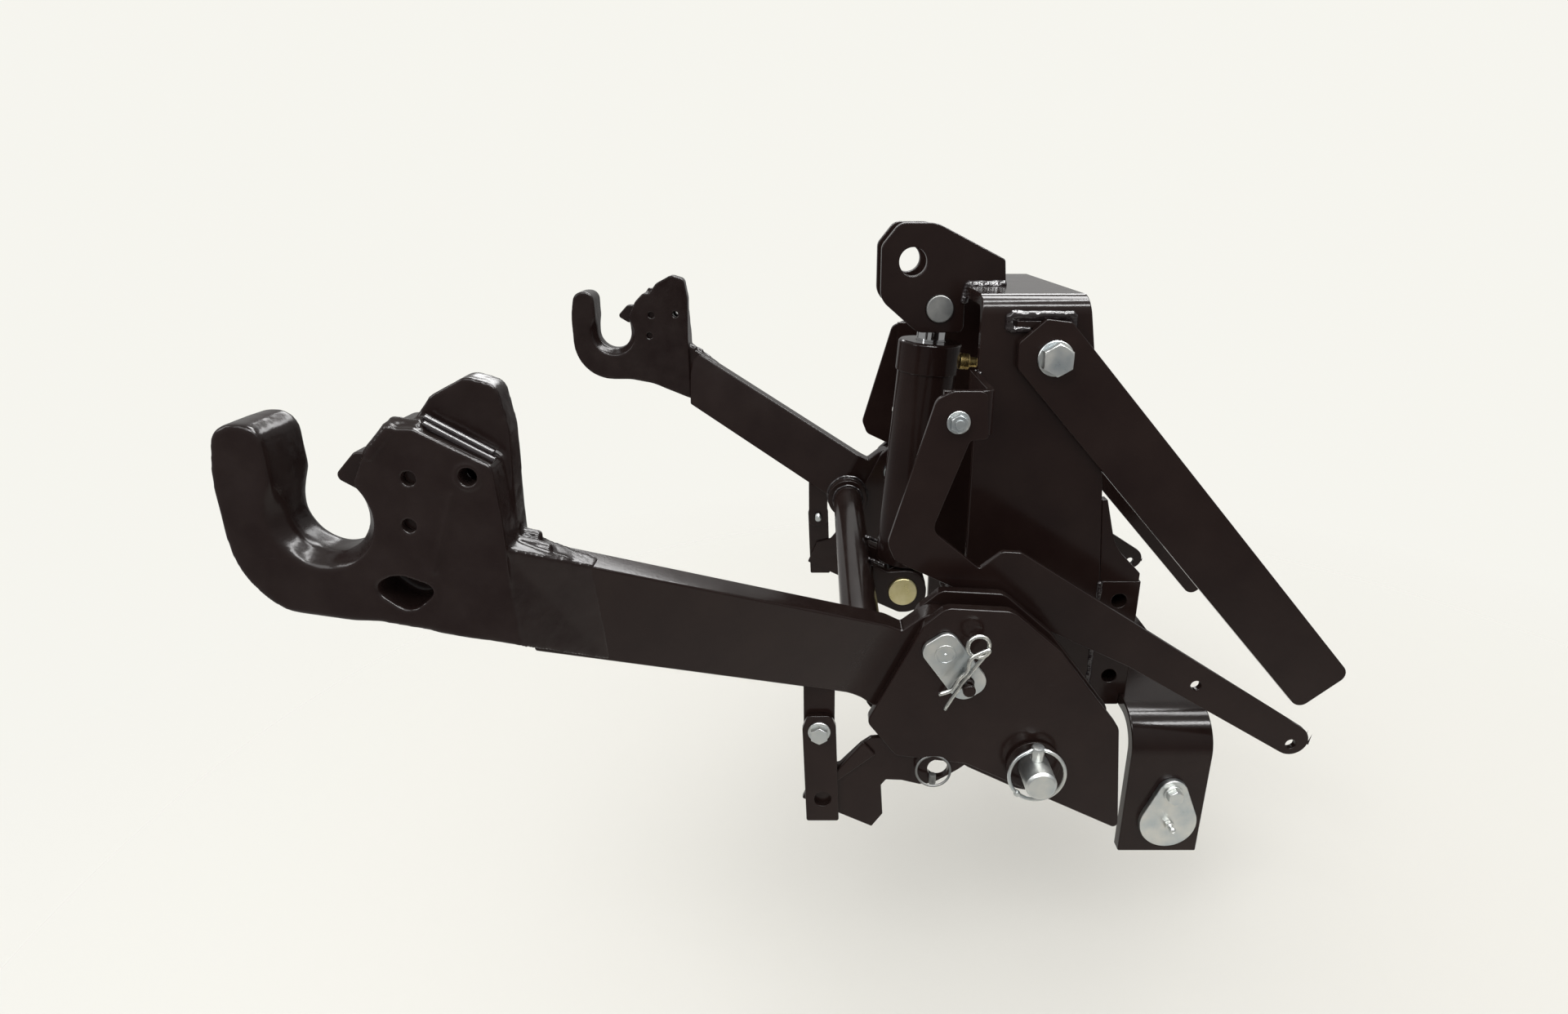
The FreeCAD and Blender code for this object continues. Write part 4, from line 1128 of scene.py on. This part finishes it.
@dataclass
class Rocker(WeldedAssembly):
    """Cheeks, cross tube, cylinder lugs, flag pins and clips; sizes in millimetres."""

    body = Body.ROCKER

    tube: Spot = (-260.0, 30.0)
    flag: Point = (-201, -258.3, 62)
    coil: Spot = (-178.0, 75.0)
    coil_radius: float = 8.6
    coil_rise: float = 0.29
    clip_wire: float = 1.6
    clip_face: float = -266.0

    def build(self) -> None:
        """Make every piece of the rocker between the lower links."""
        self.eased_sides(PAINT, cheek_outer=1.1, cheek_inner=1.1, cylinder_lug=0.9)
        self.eased_sides(ZINC, flag_pin=0.9)
        self.eased_all(PAINT, cheek_spacers=1.0, cross_tube=0.6, tube_collars=0.9)
        self.eased_all(YELLOW_PIN, cylinder_base_pin=1.0)
        self.eased_all(PAINT, cylinder_base_eye=1.0, flag_studs=1.2)
        self.clips()
        self.flag_marks()
        x, z = self.tube
        self.welds("tube_welds", [
            RingBead((x, -193.5, z), 18.6, 2.6),
            RingBead((x, -211.5, z), 25.2, 3.0),
            Bead((-246, -31, 44), (-231, -31, 37), 2.6),
            Bead((-247, -31, 17), (-240, -31, 4), 2.6),
        ])

    def flag_marks(self) -> None:
        """Raised ring with a dimple on each flag pin's head."""
        ring = turned([
            (6.2, -0.5), (6.6, 0.35), (7.4, 0.5), (8.2, 0.35), (8.6, -0.5)],
            mm(*self.flag), OUTWARD, 40)
        dimple = turned([(0, 0.7), (0.9, 0.5), (1.6, -0.4)],
                        mm(*self.flag), OUTWARD, 16)
        self.pairs("flag_marks", [ring, dimple], ZINC, 50)

    def clips(self) -> None:
        """Spring clips: a straight leg, a ring coil and a waved leg, as x, z and height."""
        x, z = self.coil
        straight = [(-200.5, 18.5, 0.0), (-195.5, 29.0, 0.0), (-189.0, 40.0, 0.0),
                    (-182.0, 51.5, 0.0), (-175.0, 62.0, 0.0), (-170.3, 69.0, 0.2)]
        coil = [(x + self.coil_radius * across, z + self.coil_radius * up,
                 0.6 + step * self.coil_rise)
                for step, (across, up) in enumerate(arc(15, -28, 388))]
        waved = [(-186.0, 66.0, 4.6), (-184.4, 59.5, 4.5), (-186.2, 53.6, 4.3),
                 (-191.6, 48.6, 4.2), (-194.3, 42.5, 4.0), (-196.2, 38.2, 4.0),
                 (-200.4, 36.2, 4.0), (-206.5, 34.6, 4.0)]
        points = [mm(x, self.clip_face - out, z) for x, z, out in straight + coil + waved]
        self.both(wire(points, self.clip_wire), SPRING_ZINC, "spring_clip", "wire")


@dataclass
class LowerLinks(WeldedAssembly):
    """Lower links with their hooks, latches and hanging brackets; sizes in millimetres."""

    body = Body.ROCKER

    bracket_bolt: Point = (-298, -254, -10)
    foot_face: float = -249.0
    foot_window: Point = (-200.5, -258, -49)
    foot_ring: Point = (-205.0, -255, -47.0)
    ball: Point = (-581, -364, 221)
    hook_face: float = -384.0
    arm_face: float = -350.0
    ear_hole: Spot = (-493.5, 246.3)
    nose_x: float = -562.0
    throat: Spot = (-545.0, 180.0)
    nose_blend: float = 14.0

    def build(self) -> None:
        """Make both lower links."""
        for side in Side:
            latch_body = Body.LATCH_LEFT if side is Side.LEFT else Body.LATCH_RIGHT
            self.eased(f"lift_arm_{side.value}", 1.6, PAINT)
            self.eased(f"hook_latch_{side.value}", 1.4, CAST_PAINT, latch_body, segments=3)
            self.eased(f"arm_bracket_{side.value}", 0.7, PAINT)
        self.hooks()
        self.ear_bars()
        self.foot_plates()
        self.foot_rings()
        self.eased_all(PAINT, bracket_tabs=0.7, latch_pins=0.5)
        self.bolts("bracket_bolt", M8, mm(*self.bracket_bolt))

    def foot_plates(self) -> None:
        """Foot plates under the cheeks, each with a window and a bent strap."""
        foot = plate([
            (-312, -79), (-253.6, -108), (-244.6, -95), (-246.6, -66), (-242.6, -60.5),
            (-230, -61), (-215, -65), (-204, -64), (-193, -57), (-183, -50), (-173.5, -42),
            (-184, -26), (-245, -19), (-256, -20), (-264, -26), (-281, -45), (-300, -50)],
            self.foot_face, 5.0)
        carved(foot, rod(8.5, 20, mm(*self.foot_window), INWARD))
        strap = block([
            (-290, -252, -66), (-290, -252, -58), (-290, -248, -66), (-290, -248, -58),
            (-252, -252, -34), (-262, -252, -22), (-252, -248, -34), (-262, -248, -22)])
        modify(strap, "BEVEL", width=1.2 * MM, segments=3)
        self.pairs("foot_plates", [foot, strap], PAINT)

    def foot_rings(self) -> None:
        """Small wire rings on pegs at the foot plates' windows."""
        x, y, z = self.foot_ring
        points = [mm(x + 14.0 * across, y + 3.0 * up, z + 12.5 * up)
                  for across, up in arc(25, 0, 360)[:-1]]
        ring = wire(points, 1.0, loop=True)
        peg = rod(3.0, 9, mm(x, y + 2.5, z - 14), UP, 16)
        bevelled(peg, 0.7)
        self.pairs("foot_rings", [ring, peg], DULL_ZINC, 40)

    def hooks(self) -> None:
        """Forged catch hooks: chamfered ball seat, lumps, a fairing to the arm, soft edges."""
        piece = copied("hook_left_forged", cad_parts["hook_left"])
        with editing(piece):
            bpy.ops.mesh.remove_doubles(threshold=CAD_TOUCHING)
            bpy.ops.mesh.bisect(plane_co=mm(-523, -384, 148.5), plane_no=(0.150, 0.409, 0.900),
                                clear_inner=True, use_fill=True)
        carved(piece, turned([
            (0, -30), (36, -30), (31, -20), (23.2, -9), (23.2, 9), (31, 20), (36, 30), (0, 30)],
            mm(*self.ball), OUTWARD, 48))
        x, z = self.ear_hole
        carved(piece, rod(5.0, 12, mm(x, self.hook_face + 8, z), OUTWARD))
        lip = turned([
            (5.6, -2), (8.2, -2), (7.6, 1.0), (6.6, 1.5), (5.6, 1.2), (5.4, -1), (5.6, -2)],
            mm(x, self.hook_face, z), OUTWARD, 32)
        piece = joined("hook_left_forged", [
            piece, *self.fairings(), *self.lumps(), lip])
        melted(piece, 1.3, 4)
        self.soften_nose(piece)
        roughened(piece, 14.0, 0.5)
        self.both(piece, CAST_PAINT, "hook", "forged")

    def fairings(self) -> list[Object]:
        """Blocks that lead the hook's face over to the arm.

        Returns:
            A front block flush with the hook's face and a rear one that slopes to the arm.
        """
        flush, arm = self.hook_face - 0.1, self.arm_face
        edge = [(-476, flush, 140.0), (-480, flush, 203.5), (-476, arm, 131), (-480, arm, 203)]
        front = [(-497, flush, 145), (-495, flush, 203.5), (-497, arm, 136), (-495, arm, 203)]
        slope = [(-437, -337.0, 103.5), (-437, -353.6, 178.5), (-437, -328, 103.5),
                 (-437, -340, 178.5)]
        lapped = [(x - 1, y, z) for x, y, z in edge]
        return [block(front + edge),
                block(lapped + slope)]

    def lumps(self) -> list[Object]:
        """Cast lumps and ridges on the hook's nose, ear and back.

        Returns:
            One chain of ripples for each lump.
        """
        face = self.hook_face
        return [bead.build() for bead in (
            Bead((-546.5, face + 3.0, 258.0), (-533.0, face + 3.0, 273.0), 5.0, 3.0),
            Bead((-533.0, -376.0, 275.0), (-519.5, -376.0, 273.0), 4.4, 2.6),
            Bead((-545.5, -371.0, 243.0), (-549.5, -371.0, 250.0), 3.4, 2.4),
            Bead((-553.0, -375.0, 213.0), (-549.5, -375.0, 219.0), 3.0, 2.4),
            Bead((-484.5, -358.0, 268.0), (-482.0, -358.0, 244.0), 4.4, 6.4),
            Bead((-483.0, -359.0, 240.0), (-486.0, -361.0, 214.0), 5.2, 8.0),
            Bead((-500, -362, 206), (-486, -366, 206), 4.0),
            Bead((-490, -376, 203.0), (-452, -359, 185.5), 3.0),
            Bead((-490, -367, 205.0), (-462, -359, 193.0), 4.0),
            Bead((-490, -357, 205.5), (-470, -352, 198.0), 4.4),
            Bead((-503.5, face + 1.0, 236.0), (-520.5, face + 1.0, 188.0), 2.2, 1.2),
            Bead((-515.5, face + 1.4, 227.0), (-525.5, face + 1.4, 190.0), 1.8, 1.2),
        )]

    def soften_nose(self, piece: Object) -> None:
        """Round off the hook's nose and throat.

        Args:
            piece: The left hook.
        """
        throat_x, throat_z = self.throat
        nose = piece.vertex_groups.new(name="nose")
        for vertex in piece.data.vertices:
            x, _, z = vertex.co / MM
            past = max(self.nose_x - x, throat_x - x + (throat_z - z))
            if past > 0:
                nose.add([vertex.index], min(past / self.nose_blend, 1.0), "REPLACE")
        modify(piece, "SMOOTH", factor=0.5, iterations=26, vertex_group="nose")

    def ear_bars(self) -> None:
        """Crisp bars across each hook's ear."""
        bars = []
        for index, (start, end, radius) in enumerate((
                (mm(-520.5, -366.5, 276.0), mm(-484.0, -366.5, 254.6), 2.8),
                (mm(-517.5, -375.5, 274.6), mm(-480.5, -375.5, 253.0), 2.2))):
            run = end - start
            bar = rod(radius, run.length / MM, start,
                      run.normalized(), 12)
            bevelled(bar, 0.8)
            bars.append(bar)
        self.pairs("ear_bars", bars, WELD_PAINT, 40)


@dataclass
class LiftCylinder(Assembly):
    """Barrel, gland, rod, pins and port of the lift cylinder."""

    body = Body.BARREL

    def build(self) -> None:
        """Make every piece of the cylinder."""
        self.eased_all(PAINT, cylinder_barrel=0.8, cylinder_gland=0.8)
        self.eased_all(BRASS, hydraulic_port=0.6)
        self.eased("cylinder_top_pin", 1.0, DULL_ZINC, Body.FRAME)
        self.eased("piston_rod", 0.5, CHROME_ROD, Body.ROD)
        self.eased("piston", 0.5, YELLOW_PIN, Body.ROD)


# Studio


@dataclass(frozen=True)
class Lamp:
    """A soft area lamp that looks at a point."""

    name: str
    place: Point
    target: Point
    width: float
    depth: float
    power: float
    only_shine: bool = False

    def hang(self) -> None:
        """Add the lamp to the scene."""
        clear()
        bpy.ops.object.light_add(type="AREA", location=self.place)
        lamp = fresh(self.name)
        lamp.data.shape = "RECTANGLE"
        lamp.data.size = self.width
        lamp.data.size_y = self.depth
        lamp.data.energy = self.power
        lamp.visible_diffuse = not self.only_shine
        aim = Vector(self.target) - Vector(self.place)
        lamp.rotation_euler = aim.to_track_quat("-Z", "Y").to_euler()


@dataclass(frozen=True)
class Studio:
    """Floor, backdrop, lamps, world and camera; sizes in metres."""

    background: Colour = (0.922, 0.914, 0.86)
    floor_tone: Colour = (0.84, 0.83, 0.785)
    floor_radius: float = 6.0
    floor_fade: Spot = (0.5, 1.5)
    reach_below: float = 0.15  # the lowered links reach this far under the saddle
    sky_tone: Colour = (1.0, 0.99, 0.97)
    sky_heights: Spot = (-0.1, 0.9)
    sky_shine: Spot = (0.3, 1.0)
    camera_place: Point = (-0.300, -0.828, 0.389)
    camera_tilt: float = 19.7  # degrees below level
    sensor: float = 36.0
    photo_width: float = 1920.0  # in pixels, as the two below
    photo_focus: float = 1030.0
    photo_centre: Spot = (-40.0, -3.0)
    lamps: tuple[Lamp, ...] = (
        Lamp("key_lamp", (-1.1, -1.5, 1.7), (-0.25, 0.0, 0.0), 0.9, 0.9, 13.0),
        Lamp("back_panel", (-0.3, 1.4, 1.2), (-0.3, -0.3, 0.1), 1.7, 0.3, 20.0, True),
        Lamp("front_strip", (0.3, -1.3, 1.75), (-0.1, -0.2, 0.0), 2.0, 0.2, 60.0, True),
        Lamp("middle_strip", (0.2, -0.5, 2.1), (-0.1, -0.2, 0.0), 2.0, 0.16, 50.0, True),
        Lamp("rear_strip", (0.3, 0.5, 2.0), (-0.1, -0.1, 0.0), 2.0, 0.55, 85.0, True),
        Lamp("side_panel", (-1.9, -0.9, 1.1), (-0.3, -0.1, 0.1), 0.4, 0.9, 9.0, True),
    )

    def build(self) -> None:
        """Set the whole studio up."""
        self.floor()
        for lamp in self.lamps:
            lamp.hang()
        self.world()
        self.camera()

    def floor(self) -> None:
        """Round pale floor that fades into the backdrop's colour."""
        clear()
        bpy.ops.mesh.primitive_circle_add(
            vertices=96, radius=self.floor_radius, fill_type="NGON",
            location=(-0.2, 0.0, cad_box[0][2] - self.reach_below))
        floor = fresh("studio_floor")
        settle(floor)
        material = bpy.data.materials.new("studio_floor_paper")
        material.use_nodes = True
        kit, nodes = Sockets(material.node_tree), material.node_tree.nodes
        paper = kit.feed(nodes["Principled BSDF"], {
            "Base Color": (*self.floor_tone, 1.0), "Roughness": 0.9, "Specular IOR Level": 0.1})
        place = kit.add("ShaderNodeTexCoord").outputs["Object"]
        away = kit.add("ShaderNodeVectorMath", {0: place}, operation="LENGTH").outputs["Value"]
        glass = kit.add("ShaderNodeBsdfTransparent")
        mix = kit.add("ShaderNodeMixShader", {
            0: kit.span(away, *self.floor_fade), 1: paper.outputs[0], 2: glass.outputs[0]})
        kit.feed(nodes["Material Output"], {"Surface": mix.outputs[0]})
        floor.data.materials.append(material)

    def world(self) -> None:
        """Pale world: the camera sees the backdrop, reflections see it dimmer near the floor."""
        world = bpy.data.worlds.new("studio_world")
        bpy.context.scene.world = world
        world.use_nodes = True
        kit, nodes = Sockets(world.node_tree), world.node_tree.nodes
        backdrop = kit.feed(nodes["Background"], {
            "Color": (*self.background, 1.0), "Strength": 1.0})
        rays = kit.add("ShaderNodeLightPath").outputs
        place = kit.add("ShaderNodeTexCoord").outputs["Generated"]
        height = kit.add("ShaderNodeSeparateXYZ", {0: place}).outputs["Z"]
        shine = kit.span(height, *self.sky_heights, *self.sky_shine)
        even = kit.span(rays["Is Glossy Ray"], 0.0, 1.0, 1.0, 0.0)
        soft = kit.add("ShaderNodeBackground", {
            "Color": (*self.sky_tone, 1.0), "Strength": kit.math("MAXIMUM", shine, even)})
        seen = kit.math("MAXIMUM", rays["Is Camera Ray"], rays["Is Transmission Ray"])
        mix = kit.add("ShaderNodeMixShader", {
            0: seen, 1: soft.outputs[0], 2: backdrop.outputs[0]})
        kit.feed(nodes["World Output"], {"Surface": mix.outputs[0]})

    def camera(self) -> None:
        """Camera at the photograph's place and angle."""
        clear()
        bpy.ops.object.camera_add(location=self.camera_place,
                                  rotation=(math.radians(90 - self.camera_tilt), 0.0, 0.0))
        camera = fresh("photo_camera")
        camera.data.sensor_width = self.sensor
        camera.data.lens = self.sensor * self.photo_focus / self.photo_width
        camera.data.shift_x, camera.data.shift_y = (
            offset / self.photo_width for offset in self.photo_centre)
        camera.data.clip_start = 0.01
        bpy.context.scene.camera = camera


def main() -> None:
    """Build the linkage and the studio."""
    paintshop = Paintshop()
    for maker in (MainFrame, Saddle, Struts, Pivot, Rocker, LowerLinks, LiftCylinder):
        log.info("building %s", maker.__name__)
        maker(paintshop).build()
    Studio().build()
    bpy.context.scene.view_settings.view_transform = "Standard"


if __name__ == "__main__":
    main()
